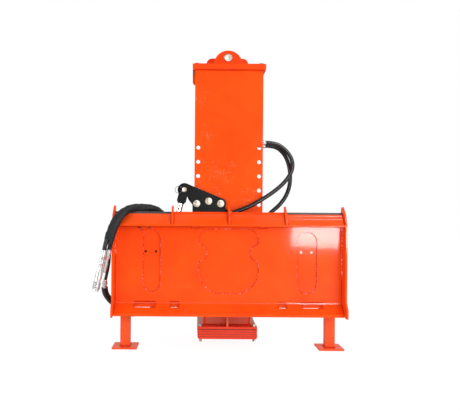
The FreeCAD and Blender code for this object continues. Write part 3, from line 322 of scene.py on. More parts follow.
# Slightly darker orange with many pale specks on the plate's corner welds: painted shade in the corner and
# painted highlights on the ripples.
weld_shade_and_glint_paint = powder_coat("orange_enamel_weld_shade_and_glints", (0.86, 0.045, 0.005), (0.74, 0.03, 0.004), painted_glints=0.95)
fold_paint = powder_coat("orange_enamel_pooled", ORANGE, DEEP_ORANGE, coat=(1.0, 1.9))
steel = bare_steel("ground_steel", (0.5, 0.48, 0.44), 0.3)
cream_steel = plated("cream_zinc", (0.6, 0.54, 0.43), 0.34)
zinc = plated("bright_zinc", (0.6, 0.61, 0.61), 0.22)
black_bolts = bare_steel("black_oxide", (0.07, 0.07, 0.072), 0.36)
chromed = chrome()
black = black_enamel()
strip_paint = dark_strip_paint()
rubber_cover = hose_cover()
nylon = woven_nylon()
pad_plastic = moulded("green_black_nylon", (0.02, 0.022, 0.022), 0.5, 300.0)
pad_rubber = moulded("moulded_rubber", (0.02, 0.02, 0.021), 0.65, 220.0)
# Near-black and dark red strips for the stack's joint and grooves: painted shade.
joint_shade_black = moulded("painted_joint_shade", (0.03, 0.008, 0.006), 0.8, 200.0)
groove_shade_red = moulded("painted_groove_shade", (0.3, 0.018, 0.01), 0.7, 200.0)
pin_steel = bare_steel("rolled_pin_steel", (0.58, 0.54, 0.47), 0.36, (30, 1, 30))
# Pale steel for strips on the slots' front edges: a painted highlight.
highlight_edge_steel = bare_steel("painted_highlight_edge_steel", (0.9, 0.86, 0.8), 0.5)
ring_steel = bare_steel("spring_steel", (0.12, 0.12, 0.125), 0.35)
bronze = bare_steel("bearing_bronze", (0.62, 0.4, 0.16), 0.32, (60, 60, 1))

finish_of_slot = {
    "orange_paint": paint, "dark_coating": strip_paint, "black_paint": black, "machined_steel": steel,
    "dark_bolts": black_bolts, "chrome": chromed, "plated_fittings": zinc, "knurled_steel": knurled(),
    "bronze": bronze, "hose_rubber": rubber_cover, "pad_plastic": pad_plastic, "rubber": pad_rubber,
}
for part in frame["record"]["subparts"]:
    node = frame["nodes"][part["node"]]
    node.data.materials.clear()
    node.data.materials.append(finish_of_slot[part["material_slot"]])
for name in ("housing_near", "centre_rib"):
    frame["nodes"][name].data.materials[0] = pocket_paint


# ---- making meshes ----

def new_piece(name, mesh, body):
    """Links a finished mesh as a piece that rides on a body."""
    piece = bpy.data.objects.new(name, mesh)
    bpy.context.scene.collection.objects.link(piece)
    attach(piece, body)
    return piece


def mesh_of(name, work):
    """The mesh of a finished bmesh."""
    mesh = bpy.data.meshes.new(name)
    work.to_mesh(mesh)
    work.free()
    return mesh


def join_into(joined, work):
    part = mesh_of("solid", work)
    joined.from_mesh(part)
    bpy.data.meshes.remove(part)


def shade(mesh, sharp_above, material=None):
    """Smooth shading, but for edges above an angle in degrees."""
    mesh.shade_smooth()
    mesh.set_sharp_from_angle(angle=math.radians(sharp_above))
    if material is not None:
        mesh.materials.append(material)


def body_of_node(node):
    for body, members in frame["record"]["behaviour"]["bodies"].items():
        if node in members:
            return body
    return None


def solids_of(node):
    """The node's solids, each a list of triangles as corner points; one ends where its last open
    edge is closed."""
    mesh = frame["nodes"][node].data
    corners = [tuple(round(c, 6) for c in v.co) for v in mesh.vertices]
    solids, current, open_edges = [], [], set()
    for face in mesh.polygons:
        points = [corners[i] for i in face.vertices]
        current.append(points)
        for i, a in enumerate(points):
            b = points[(i + 1) % len(points)]
            if a == b:
                continue
            if (b, a) in open_edges:
                open_edges.remove((b, a))
            else:
                open_edges.add((a, b))
        if not open_edges:
            solids.append(current)
            current = []
    if current:
        solids.append(current)
    return solids


def solid_bmesh(triangles):
    """One solid with its triangles joined and its flat faces made whole."""
    work = bmesh.new()
    known = {}
    for points in triangles:
        if len(set(points)) < 3:
            continue
        verts = []
        for point in points:
            if point not in known:
                known[point] = work.verts.new(point)
            verts.append(known[point])
        if work.faces.get(verts) is None:
            work.faces.new(verts)
    bmesh.ops.dissolve_limit(work, angle_limit=math.radians(0.6), verts=work.verts, edges=work.edges)
    return work


def sharp_edges(work, wanted=None):
    found = []
    for edge in work.edges:
        if len(edge.link_faces) == 2 and edge.calc_face_angle(0) > EDGE_ANGLE:
            if wanted is None or wanted(edge):
                found.append(edge)
    return found


def round_edges(work, edges, width, segments):
    bmesh.ops.bevel(work, geom=edges, offset=width, segments=segments, profile=0.5, affect="EDGES",
                    clamp_overlap=True)


def keep_flat(piece):
    """Lets large flat faces keep their own shading beside the small rounds at their edges."""
    weighted = piece.modifiers.new("flat_faces", "WEIGHTED_NORMAL")
    weighted.keep_sharp = True
    weighted.weight = 60
    weighted.mode = "FACE_AREA"


def softened(name, node, width, material=paint, wide=None, wide_width=0.0):
    """A node with its sharp edges broken, and some of them, such as folds, given a wider round."""
    joined = bmesh.new()
    for triangles in solids_of(node):
        work = solid_bmesh(triangles)
        if wide is not None:
            round_edges(work, sharp_edges(work, wide), wide_width, 5)
        round_edges(work, sharp_edges(work), width, 2)
        bmesh.ops.triangulate(work, faces=[f for f in work.faces if len(f.verts) > 4])
        join_into(joined, work)
    mesh = mesh_of(name, joined)
    shade(mesh, 32, material)
    piece = new_piece(name, mesh, body_of_node(node))
    keep_flat(piece)
    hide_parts(node)
    return piece


def axis_frame(start, axis):
    """A matrix whose Z runs along axis from start."""
    return Matrix.Translation(start) @ axis.to_track_quat("Z", "Y").to_matrix().to_4x4()


def ring_into(work, matrix, distance, radius, count):
    """Corners of a ring round a matrix's Z, at a distance along it."""
    angles = [2 * math.pi * i / count for i in range(count)]
    corners = [Vector((radius * math.cos(a), radius * math.sin(a), distance)) for a in angles]
    return [work.verts.new(matrix @ corner) for corner in corners]


def skinned(work, rings):
    """Closed skin over rings in a row, with both ends capped."""
    count = len(rings[0])
    for low, high in zip(rings, rings[1:]):
        for i in range(count):
            j = (i + 1) % count
            work.faces.new((low[i], low[j], high[j], high[i]))
    work.faces.new(rings[0][::-1])
    work.faces.new(rings[-1])


def turned_into(work, profile, start, axis, count=40):
    """Adds a closed shape turned round an axis; profile is (distance, radius)."""
    matrix = axis_frame(start, axis)
    skinned(work, [ring_into(work, matrix, distance, radius, count) for distance, radius in profile])


def finished(name, work, material, body, sharp_above=35):
    bmesh.ops.recalc_face_normals(work, faces=work.faces)
    mesh = mesh_of(name, work)
    shade(mesh, sharp_above, material)
    piece = new_piece(name, mesh, body)
    return piece


def chamfered(start, end, radius, edge=0.0008):
    """Profile of a plain length with both edges broken."""
    return [(start, radius - edge), (start + edge, radius), (end - edge, radius), (end, radius - edge)]


def hexagon_into(work, start, axis, width, height, turn_edge=0.9):
    """A nut or bolt head: a hexagonal prism whose corners are turned off."""
    radius = width / math.sqrt(3)
    inner = radius * turn_edge
    bevel = (radius - inner) * 0.6
    turned_into(work, [(0, inner), (bevel, radius), (height - bevel, radius), (height, inner)], start, axis, 6)


def thread_into(work, start, axis, radius, length):
    """A bolt's threaded end, as fine grooves."""
    pitch = 0.0025
    depth = 0.0011
    profile = [(0.0, radius - 0.001)]
    distance = pitch / 2
    while distance < length - pitch:
        profile += [(distance, radius), (distance + pitch / 2, radius - depth)]
        distance += pitch
    profile += [(length - 0.0012, radius), (length, radius - 0.0016)]
    turned_into(work, profile, start, axis, 24)


# ---- geometry nodes: what repeats ----

def new_geometry_tree(name, inputs):
    """A tree that takes and gives geometry, and the sockets of what it is given."""
    tree = bpy.data.node_groups.new(name, "GeometryNodeTree")
    for label, kind in {"Geometry": "Geometry", **inputs}.items():
        tree.interface.new_socket(label, in_out="INPUT", socket_type="NodeSocket" + kind)
    tree.interface.new_socket("Geometry", in_out="OUTPUT", socket_type="NodeSocketGeometry")
    return tree, tree.nodes.new("NodeGroupInput").outputs


def end_tree(tree, instances, finish, smooth):
    """Makes a tree's instances real, gives them their finish and hands them out."""
    geometry = add(tree, "GeometryNodeRealizeInstances", {0: instances.outputs["Instances"]}).outputs[0]
    if smooth:
        geometry = add(tree, "GeometryNodeSetShadeSmooth", {0: geometry}).outputs[0]
    coated = add(tree, "GeometryNodeSetMaterial", {"Geometry": geometry, "Material": finish}).outputs[0]
    add(tree, "NodeGroupOutput", {0: coated})
    return tree


def weld_bead_tree():
    """Overlapping ripples set along edges, each turned to the run of the weld."""
    tree, given = new_geometry_tree("weld_bead", {
        "Ripple pitch": "Float", "Leg": "Float", "Unevenness": "Float", "Finish": "Material"})
    pitch = given["Ripple pitch"]
    curve = add(tree, "GeometryNodeMeshToCurve", {0: given["Geometry"]}).outputs[0]
    points = add(tree, "GeometryNodeCurveToPoints", {0: curve, "Length": pitch}, mode="LENGTH").outputs
    ripple = add(tree, "GeometryNodeMeshUVSphere", {"Segments": 8, "Rings": 5, "Radius": 1.0}).outputs["Mesh"]
    smallest = calculated(tree, "SUBTRACT", 1.0, given["Unevenness"])
    jitter = add(tree, "FunctionNodeRandomValue", {2: smallest, "Seed": 11}, data_type="FLOAT").outputs[1]
    width = product(tree, jitter, given["Leg"])
    size = add(tree, "ShaderNodeCombineXYZ", {"X": width, "Y": width, "Z": pitch}).outputs["Vector"]
    ripples = add(tree, "GeometryNodeInstanceOnPoints", {
        "Points": points["Points"], "Rotation": points["Rotation"], "Instance": ripple, "Scale": size})
    return end_tree(tree, ripples, given["Finish"], smooth=True)


def copies_tree():
    """One piece set on every point of a mesh."""
    tree, given = new_geometry_tree("copies_on_points", {"Piece": "Object", "Finish": "Material"})
    piece = add(tree, "GeometryNodeObjectInfo", {"Object": given["Piece"]}).outputs["Geometry"]
    instances = add(tree, "GeometryNodeInstanceOnPoints", {"Points": given["Geometry"], "Instance": piece})
    return end_tree(tree, instances, given["Finish"], smooth=False)


def grown(name, tree, runs, values, body):
    """Runs a tree on runs of points and keeps the result as a plain mesh on a body."""
    vertices, edges = [], []
    for run in runs:
        first = len(vertices)
        vertices += [tuple(p) for p in run]
        edges += [(first + i, first + i + 1) for i in range(len(run) - 1)]
    seed_mesh = bpy.data.meshes.new(name + "_runs")
    seed_mesh.from_pydata(vertices, edges, [])
    seed_object = bpy.data.objects.new(name + "_seed", seed_mesh)
    bpy.context.scene.collection.objects.link(seed_object)
    modifier = seed_object.modifiers.new("grow", "NODES")
    modifier.node_group = tree
    for item in tree.interface.items_tree:
        if item.in_out == "INPUT" and item.name in values:
            modifier[item.identifier] = values[item.name]
    graph = bpy.context.evaluated_depsgraph_get()
    mesh = bpy.data.meshes.new_from_object(seed_object.evaluated_get(graph))
    seed_object.modifiers.clear()
    bpy.data.objects.remove(seed_object)
    piece = new_piece(name, mesh, body)
    return piece


WELD = weld_bead_tree()
COPIES = copies_tree()


# Welds take the darker seam paint unless told otherwise: painted shade along the seam.
def weld(name, runs, leg, body, pitch=0.0038, finish=seam_shade_paint):
    values = {"Ripple pitch": pitch, "Leg": leg, "Unevenness": 0.25, "Finish": finish}
    return grown(name, WELD, runs, values, body)


def copies(name, work, points, material, body):
    """Sets copies of a small shape on points, as one piece."""
    bmesh.ops.recalc_face_normals(work, faces=work.faces)
    mesh = mesh_of(name + "_unit", work)
    shade(mesh, 35)
    unit = bpy.data.objects.new(name + "_unit", mesh)
    bpy.context.scene.collection.objects.link(unit)
    piece = grown(name, COPIES, [[point] for point in points], {"Piece": unit, "Finish": material}, body)
    bpy.data.objects.remove(unit)
    return piece


# ---- frame ----

PLATE_FRONT = 0.070
PLATE_BACK = 0.0795
BEND_Z = 0.232
INNER_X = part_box("qa_plate")[1].x
RIBS_X = (-0.280, 0.0, 0.280)
TABS_X = (-0.168, 0.168)
LIP_FOLDS = ((0.0607, 0.6675), (0.0476, 0.6534))                                # depth and height
SLOTS = ((-0.4155, 0.106), (-0.268, 0.044), (0.268, 0.044), (0.4155, 0.106))    # middle and width
SLOT_SIDE = ((0.046, 0.2144), (0.0698, 0.2318), (0.070, 0.241))                 # depth and height


def is_bend(edge):
    """The inner fold between the mounting plate and its lower flange."""
    middle = (edge.verts[0].co + edge.verts[1].co) / 2
    return abs(middle.z - BEND_Z) < 0.001 and abs(middle.y - DEPTH_ZERO - PLATE_FRONT) < 0.001


def build_frame():
    softened("mounting_plate", "qa_plate", 0.0007, wide=is_bend, wide_width=0.006)
    softened("hooked_lip", "top_lip", 0.0012)
    softened("closing_plate", "backing_plate", 0.0008)
    softened("middle_bar", "top_stiffener", 0.0015)
    fold_lines()
    slot_edges()
    hole_plugs()
    softened("frame_ends", "end_plates", 0.0014)
    softened("lip_gussets", "lip_ribs", 0.0012)
    softened("foot_left", "leg_left", 0.001, leg_sheen_paint)
    softened("foot_right", "leg_right", 0.001, leg_sheen_paint)
    softened("socket_tubes", "leg_sockets", 0.0012)


def fold_lines():
    """Glossy ridges along the lip's two folds, and the bead of paint that pools in the bend under the plate."""
    work = bmesh.new()
    length = 2 * INNER_X - 0.002
    ridges = [(y, z, 0.0026) for y, z in LIP_FOLDS] + [(PLATE_FRONT - 0.0006, BEND_Z + 0.001, 0.0036)]
    for y, z, radius in ridges:
        profile = [(0, radius * 0.6), (0.001, radius), (length - 0.001, radius), (length, radius * 0.6)]
        turned_into(work, profile, drawn(-INNER_X + 0.001, y, z), RIGHT, 20)
    finished("lip_fold_lines", work, fold_paint, "carrier")


def slot_edges():
    """Darker beads round the flange's slots, painted shade on their cut edges, and pale steel strips along
    their front edges, a painted highlight.
    """
    runs = []
    work = bmesh.new()
    front_y, front_z = SLOT_SIDE[0]
    for middle, width in SLOTS:
        x0, x1 = middle - width / 2, middle + width / 2
        left, right = [(x0, *corner) for corner in SLOT_SIDE], [(x1, *corner) for corner in SLOT_SIDE[::-1]]
        runs.append(path(*left, *right))
        bright = width * 0.72
        profile = [(0, 0.0004), (0.0015, 0.0011), (bright - 0.0015, 0.0011), (bright, 0.0004)]
        turned_into(work, profile, drawn(x0 + 0.004, front_y - 0.0002, front_z - 0.0004), RIGHT, 14)
    weld("slot_cut_edges", runs, 0.0017, "carrier", 0.0017)
    finished("slot_rubbed_edges", work, highlight_edge_steel, "carrier")


def hole_plugs():
    """Black rubber discs in the two small holes at the left slot's neck: painted shade that fills the holes."""
    work = bmesh.new()
    profile = [(0, 0.0040), (0.0006, 0.0049), (0.0016, 0.0049), (0.0018, 0.0039), (0.006, 0.0038)]
    for x in (-0.443, -0.3965):
        turned_into(work, profile, drawn(x, 0.0785, 0.607), AWAY, 20)
    finished("hole_plugs", work, pad_rubber, "carrier")


def is_window_edge(edge):
    """An edge of one of the plate's windows, at the closing plate's face."""
    corners = [v.co for v in edge.verts]
    at_back = all(abs(c.y - DEPTH_ZERO - PLATE_BACK) < 0.0004 for c in corners)
    on_window = all(0.262 < c.z < 0.6635 and abs(c.x) < INNER_X - 0.004 for c in corners)
    return at_back and on_window and edge.calc_length() > 0.0004


def window_edge_runs():
    """Runs along the plate's window edges, read from the plate itself.

    The edges keep the mesh's own order, and an open run starts at one of its ends, so that the script finds the
    same whole outlines each time.
    """
    work = bmesh.new()
    for triangles in solids_of("qa_plate"):
        join_into(work, solid_bmesh(triangles))
    found = [edge for edge in work.edges if is_window_edge(edge)]
    left = set(found)

    def onward(vert):
        return [edge for edge in vert.link_edges if edge in left]

    runs = []
    for closed in (False, True):
        for edge in found:
            starts = [v for v in edge.verts if closed or len(onward(v)) == 1]
            if edge not in left or not starts:
                continue
            chain = [starts[0]]
            following = [edge]
            while following:
                left.remove(following[0])
                chain.append(following[0].other_vert(chain[-1]))
                following = onward(chain[-1])
            runs.append([v.co - AWAY * 0.0006 for v in chain])
    work.free()
    return [run for run in runs if len(run) > 6]


def frame_welds():
    """Beads round the windows, down the plate's corners, under the lip, along its ribs and round its tabs;
    their darker paint is painted shade in the seams, and pale specks on the window and corner beads are painted
    highlights.
    """
    weld("window_edge_beads", window_edge_runs(), 0.0038, "carrier", 0.0046, window_edge_shade_and_glint_paint)
    runs, corner_runs, tab_runs = [], [], []
    for side, change_z in ((-1, 0.47), (1, 0.36)):
        x = side * (INNER_X - 0.001)
        corner_runs.append(path((x, 0.069, change_z), (x, 0.069, 0.61)))
        runs += [path((x, 0.069, 0.238), (x, 0.069, change_z)),
                 path((x, 0.068, 0.233), (x, 0.014, 0.191)),
                 path((x, 0.012, 0.629), (x, 0.045, 0.656), (x, 0.063, 0.677)),
                 path((x, 0.081, 0.26), (x, 0.081, 0.63))]
    for rib_x in RIBS_X:
        for x in (rib_x - 0.0055, rib_x + 0.0055):
            runs.append(path((x, 0.011, 0.628), (x, 0.045, 0.656), (x, 0.059, 0.6715), (x, 0.078, 0.6775)))
    runs.append(path((-INNER_X + 0.004, 0.0662, 0.6165), (INNER_X - 0.004, 0.0662, 0.6165)))
    for tab_x in TABS_X:
        edges = ((-0.019, 0.6145), (-0.019, 0.6065), (0.019, 0.6065), (0.019, 0.6145))
        tab_runs.append(path(*((tab_x + x, 0.0612, z) for x, z in edges)))
    # Dark seam beads round the tabs' lower edges: painted shade under the lip's tabs.
    weld("tab_edges", tab_runs, 0.0017, "carrier", 0.0017)
    weld("frame_welds", runs, 0.0042, "carrier", 0.0045)
    weld("corner_welds", corner_runs, 0.0046, "carrier", 0.0044, weld_shade_and_glint_paint)


def leg_welds():
    """Beads round the legs on their feet, and short ones along the edges of the sockets."""
    half = 0.0255
    for name in ("left", "right"):
        low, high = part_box("leg_" + name)
        centre_x, centre_y = (low.x + high.x) / 2, (low.y + high.y) / 2
        corners = [Vector((centre_x + a * half, centre_y + b * half, 0.0085))
                   for a, b in ((-1, -1), (1, -1), (1, 1), (-1, 1), (-1, -1))]
        weld("foot_weld_" + name, [corners], 0.0035, "leg_" + name)
    runs = [path((side * x, y, z), (side * x, y, z + 0.04))
            for side in (-1, 1) for x in (0.4915, 0.5425) for z in (0.26, 0.50) for y in (0.0805, 0.1050)]
    weld("socket_welds", runs, 0.003, "carrier")


# ---- hammer ----

BODY_X = 0.121
COLUMN_FRONT = 0.126
COLUMN_REAR = 0.138
BODY_NEAR = 0.201
BODY_FAR = 0.429
CAP_Z = 1.407
CAP_TOP_Z = 1.435
BASE_TOP_Z = 0.104
GROOVES_Z = (0.054, 0.066, 0.078)
CRANK_BOLTS = ((-0.1605, 0.7285), (-0.100, 0.741), (-0.0395, 0.7295))


def build_hammer():
    softened("column_front", "column_plate", 0.0009, column_paint)
    softened("housing_wall_left", "housing_side_left", 0.001)
    softened("housing_wall_right", "housing_side_right", 0.001)
    softened("housing_back", "housing_far", 0.001)
    softened("cap_pair", "cap_plates", 0.0020, cap_shade_paint)
    softened("bottom_plates", "base_stack", 0.0026, base_shade_paint)
    stack_joints()
    softened("bottom_flange", "base_flange", 0.0018, base_shade_paint)
    softened("gusset_set", "corner_gussets", 0.001, dust_and_sheen_paint)
    softened("lifting_ears", "lifting_lugs", 0.0014, cap_shade_paint)
    for name, node in (("crank_plate", "crank_bracket"), ("hose_block", "hose_junction"),
                       ("valve_blocks", "manifolds")):
        softened(name, node, 0.0012, black)


def stack_joints():
    """Dark red strips in the grooves between the bottom plates, and a near-black strip in the joint under the
    flange: painted shade in the grooves and the joint.
    """
    low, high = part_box("base_stack")
    proud, sunk, half = 0.0002, 0.0018, 0.0016
    work = bmesh.new()
    for z in GROOVES_Z:
        for x0, x1, y0, y1 in ((-0.148, 0.148, low.y - proud, low.y + sunk),
                               (low.x - proud, low.x + sunk, low.y + 0.004, high.y - 0.004),
                               (high.x - sunk, high.x + proud, low.y + 0.004, high.y - 0.004)):
            block_into(work, x0, x1, y0, y1, z - half, z + half)
    finished("stack_joints", work, groove_shade_red, "hammer")
    work = bmesh.new()
    block_into(work, low.x + 0.006, high.x - 0.006, low.y - 0.0001, low.y + 0.004, 0.0885, 0.0925)
    finished("flange_joint", work, joint_shade_black, "hammer")


def block_into(work, x0, x1, y0, y1, z0, z1):
    verts = [work.verts.new((x, y, z)) for x in (x0, x1) for y in (y0, y1) for z in (z0, z1)]
    for a, b, c, d in ((0, 1, 3, 2), (4, 6, 7, 5), (0, 4, 5, 1), (2, 3, 7, 6), (0, 2, 6, 4), (1, 5, 7, 3)):
        work.faces.new((verts[a], verts[b], verts[c], verts[d]))


def hammer_welds():
    """Seams of the housing, its rib, the column, the cap and the lugs."""
    runs = []
    z = BASE_TOP_Z + 0.001
    for side in (-1, 1):
        x, inner_x, rib_x = side * (BODY_X + 0.001), side * (BODY_X - 0.012), side * 0.0055
        runs += [path((x, BODY_NEAR, z), (x, BODY_FAR, z)),
                 path((x, COLUMN_REAR, CAP_Z - 0.001), (x, BODY_FAR, CAP_Z - 0.001)),
                 path((inner_x, BODY_FAR - 0.001, 0.12), (inner_x, BODY_FAR - 0.001, 1.39))]
        low = 0.24
        while low < 1.36:
            runs.append(path((x, COLUMN_REAR + 0.001, low), (x, COLUMN_REAR + 0.001, low + 0.06)))
            low += 0.13
        runs += [path((rib_x, BODY_NEAR - 0.001, BASE_TOP_Z), (rib_x, BODY_NEAR - 0.001, 0.395)),
                 path((rib_x, 0.140, z), (rib_x, BODY_NEAR, z))]
    runs += [path((-BODY_X + 0.012, BODY_NEAR - 0.001, z), (BODY_X - 0.012, BODY_NEAR - 0.001, z)),
             path((-BODY_X, BODY_FAR + 0.001, z), (BODY_X, BODY_FAR + 0.001, z)),
             path(*((x, COLUMN_FRONT - 0.001, CAP_Z - 0.0005) for x in (-0.172, 0.172)))]
    for lug_y, half in ((0.240, 0.075), (0.330, 0.112)):
        for y in (lug_y - 0.001, lug_y + 0.017):
            runs.append(path((-half, y, CAP_TOP_Z + 0.001), (half, y, CAP_TOP_Z + 0.001)))
    weld("housing_welds", runs, 0.0034, "hammer")


def hex_bolts():
    """Cap bolts with their nuts and thread ends, and base bolts whose ends show under the stack."""
    cap_points = [drawn(x, y, 0) for x in (-0.164, 0.164) for y in (0.158, 0.457)]
    work = bmesh.new()
    turned_into(work, chamfered(CAP_TOP_Z, CAP_TOP_Z + 0.002, 0.0165, 0.0005), Vector(), UP)
    hexagon_into(work, Vector((0, 0, CAP_TOP_Z + 0.002)), UP, 0.0275, 0.0098)
    hexagon_into(work, Vector((0, 0, CAP_Z - 0.0115)), UP, 0.0275, 0.0113)
    cap = copies("cap_bolt_set", work, cap_points, black_bolts, "hammer")
    work = bmesh.new()
    thread_into(work, Vector((0, 0, CAP_Z)), -UP, 0.010, 0.014)
    copies("cap_bolt_ends", work, cap_points, zinc, "hammer")
    low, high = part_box("base_stack")
    base_points = [Vector((x, y, 0)) for x in (low.x + 0.0145, high.x - 0.0145)
                   for y in (low.y + 0.024, high.y - 0.024)]
    work = bmesh.new()
    hexagon_into(work, Vector((0, 0, BASE_TOP_Z)), UP, 0.022, 0.0095)
    copies("base_bolt_heads", work, base_points, steel, "hammer")
    work = bmesh.new()
    thread_into(work, Vector((0, 0, low.z)), -UP, 0.008, 0.016)
    copies("base_bolt_ends", work, base_points, zinc, "hammer")
    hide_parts("housing_bolts")


def crank_fasteners():
    """Washer, domed hexagon head and nut of the three large crank bolts."""
    work = bmesh.new()
    for x, z in CRANK_BOLTS:
        front = drawn(x, 0.110, z)
        turned_into(work, chamfered(0, 0.003, 0.0178, 0.0006), front, -AWAY)
        turned_into(work, [(0.003, 0.0148), (0.0042, 0.0155), (0.0052, 0.0155), (0.006, 0.0145)], front, -AWAY)
        hexagon_into(work, front - AWAY * 0.0055, -AWAY, 0.0235, 0.0062, 0.88)
        turned_into(work, [(0.0112, 0.0062), (0.0118, 0.0060), (0.0121, 0.0046), (0.0108, 0.0040),
                           (0.0106, 0.0010)], front, -AWAY, 24)
        rear = drawn(x, COLUMN_REAR, z)
        hexagon_into(work, rear + AWAY * 0.0005, AWAY, 0.032, 0.015)
        thread_into(work, rear + AWAY * 0.014, AWAY, 0.012, 0.0078)
    piece = finished("crank_fasteners", work, cream_steel, "hammer")
    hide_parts("crank_bolts")


def lug_pin():
    low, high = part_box("lug_pin")
    radius = (high.x - low.x) / 2
    centre = Vector(((low.x + high.x) / 2, low.y, (low.z + high.z) / 2))
    length = high.y - low.y
    work = bmesh.new()
    profile = [(0.0006, 0.003), (0.0002, 0.006), (0.0, radius - 0.0024), (0.0018, radius - 0.0003),
               (0.003, radius), (length - 0.003, radius), (length - 0.0004, radius - 0.0022), (length, 0.004)]
    turned_into(work, profile, centre, AWAY, 64)
    piece = finished("lifting_pin", work, pin_steel, "hammer")
    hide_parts("lug_pin")


# ---- tilt cylinder ----

LEAN = math.radians(14.3)
CYLINDER_DOWN = Vector((-math.sin(LEAN), 0, -math.cos(LEAN)))
CRANK_PIN = drawn(-0.2236, 0.118, 0.7978)


def cylinder_trim():
    """Clevis and barrel with broken edges, the clevis's lock nut, and its turned pin with a split ring."""
    softened("clevis_fork", "clevis", 0.0016, black)
    softened("cylinder_tube", "tilt_barrel", 0.0012, black)
    work = bmesh.new()
    hexagon_into(work, CRANK_PIN + CYLINDER_DOWN * 0.0632, CYLINDER_DOWN, 0.036, 0.008)
    finished("clevis_lock_nut", work, black, "tilt_rod")
    low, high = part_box("clevis_pin")
    work = bmesh.new()
    front = Vector((CRANK_PIN.x, low.y + 0.0016, CRANK_PIN.z))
    length = high.y - front.y
    turned_into(work, [(0.0030, 0.0022), (0.0012, 0.003), (0.0006, 0.0042), (0.0, 0.0105), (0.0014, 0.0122),
                       (0.002, 0.0124), (length - 0.0014, 0.0124), (length, 0.0108)], front, AWAY, 48)
    pin = finished("clevis_pin_turned", work, cream_steel, "tilt_rod")
    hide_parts("clevis_pin")
    split_ring(front + Vector((-0.0285, -0.0006, -0.001)))


def split_ring(centre):
    """Spring-steel ring of nearly two turns through the pin's end."""
    ring = bpy.data.curves.new("split_ring", "CURVE")
    ring.dimensions = "3D"
    ring.bevel_depth = 0.0012
    ring.bevel_resolution = 4
    coils = ring.splines.new("NURBS")
    steps, turns, radius, rise = 40, 1.9, 0.0175, 0.0018
    coils.points.add(steps)
    for i in range(steps + 1):
        angle = 2 * math.pi * turns * i / steps
        offset = Vector((radius * math.cos(angle), rise * (i / steps - 0.5), radius * math.sin(angle)))
        coils.points[i].co = (*(centre + offset), 1)
    coils.order_u = 4
    coils.use_endpoint_u = True
    piece = bpy.data.objects.new("split_ring", ring)
    bpy.context.scene.collection.objects.link(piece)
    ring.materials.append(ring_steel)
    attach(piece, "tilt_rod")


# ---- hoses ----

SUPPLY = [(0.188, 0.154, 1.043), (0.238, 0.154, 1.043), (0.293, 0.152, 1.008), (0.327, 0.147, 0.955),
          (0.325, 0.138, 0.899), (0.287, 0.124, 0.842), (0.232, 0.111, 0.794), (0.172, 0.103, 0.754),
          (0.110, 0.1003, 0.718), (0.060, 0.1003, 0.698), (0.016, 0.1003, 0.682)]
RETURN = [(0.188, 0.181, 1.030), (0.238, 0.181, 1.030), (0.284, 0.177, 0.996), (0.309, 0.172, 0.944),
          (0.319, 0.167, 0.886), (0.316, 0.163, 0.826), (0.298, 0.160, 0.772), (0.263, 0.156, 0.724),
          (0.217, 0.153, 0.686), (0.178, 0.1515, 0.642), (0.156, 0.151, 0.594)]
LEFT_A = [(-0.330, 0.178, 0.556), (-0.330, 0.178, 0.604), (-0.337, 0.176, 0.644), (-0.360, 0.169, 0.675),
          (-0.398, 0.156, 0.696), (-0.442, 0.133, 0.708), (-0.481, 0.105, 0.711), (-0.517, 0.070, 0.700),
          (-0.544, 0.029, 0.675), (-0.567, -0.010, 0.636), (-0.583, -0.026, 0.594), (-0.593, -0.031, 0.556),
          (-0.600, -0.032, 0.528), (-0.606, -0.032, 0.499)]
LEFT_B = [(-0.306, 0.178, 0.556), (-0.306, 0.178, 0.604), (-0.315, 0.176, 0.652), (-0.344, 0.167, 0.693),
          (-0.386, 0.144, 0.712), (-0.430, 0.115, 0.716), (-0.467, 0.087, 0.711), (-0.499, 0.054, 0.700),
          (-0.524, 0.019, 0.669), (-0.545, -0.014, 0.628), (-0.561, -0.026, 0.586), (-0.571, -0.028, 0.548),
          (-0.578, -0.024, 0.522), (-0.583, -0.020, 0.503)]
TILT = [(-0.440, 0.150, 0.440), (-0.440, 0.152, 0.392), (-0.436, 0.160, 0.338), (-0.430, 0.174, 0.284),
        (-0.426, 0.188, 0.238), (-0.429, 0.197, 0.200), (-0.441, 0.203, 0.170), (-0.465, 0.206, 0.151),
        (-0.496, 0.205, 0.147), (-0.526, 0.200, 0.160), (-0.553, 0.188, 0.186), (-0.580, 0.160, 0.214),
        (-0.602, 0.124, 0.244), (-0.615, 0.086, 0.277), (-0.616, 0.058, 0.315), (-0.607, 0.042, 0.357),
        (-0.596, 0.034, 0.400), (-0.589, 0.029, 0.442), (-0.587, 0.022, 0.484), (-0.587, 0.012, 0.522),
        (-0.588, -0.002, 0.556)]


def route_curve(name, route, steps):
    """An object with one smooth curve through a route."""
    data = bpy.data.curves.new(name, "CURVE")
    data.dimensions = "3D"
    spline = data.splines.new("NURBS")
    spline.points.add(len(route) - 1)
    for knot, point in zip(spline.points, path(*route)):
        knot.co = (*point, 1)
    spline.order_u = 3
    spline.use_endpoint_u = True
    spline.resolution_u = steps
    piece = bpy.data.objects.new(name, data)
    bpy.context.scene.collection.objects.link(piece)
    return piece


def hose_curve(name, route, diameter, body, node):
    piece = route_curve(name, route, 10)
    piece.data.bevel_depth = diameter / 2
    piece.data.bevel_resolution = 6
    piece.data.use_fill_caps = True
    piece.data.materials.append(rubber_cover)
    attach(piece, body)
    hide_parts(node)
    return piece


def centre_line(route):
    """Points along a route's smooth curve."""
    holder = route_curve("line", route, 12)
    mesh = bpy.data.meshes.new_from_object(holder)
    line = [v.co.copy() for v in mesh.vertices]
    bpy.data.objects.remove(holder)
    return line


def end_of(route):
    """A route's last point and the way it points."""
    last, before = drawn(*route[-1]), drawn(*route[-2])
    return last, (last - before).normalized()


def start_of(route):
    return end_of(route[::-1])


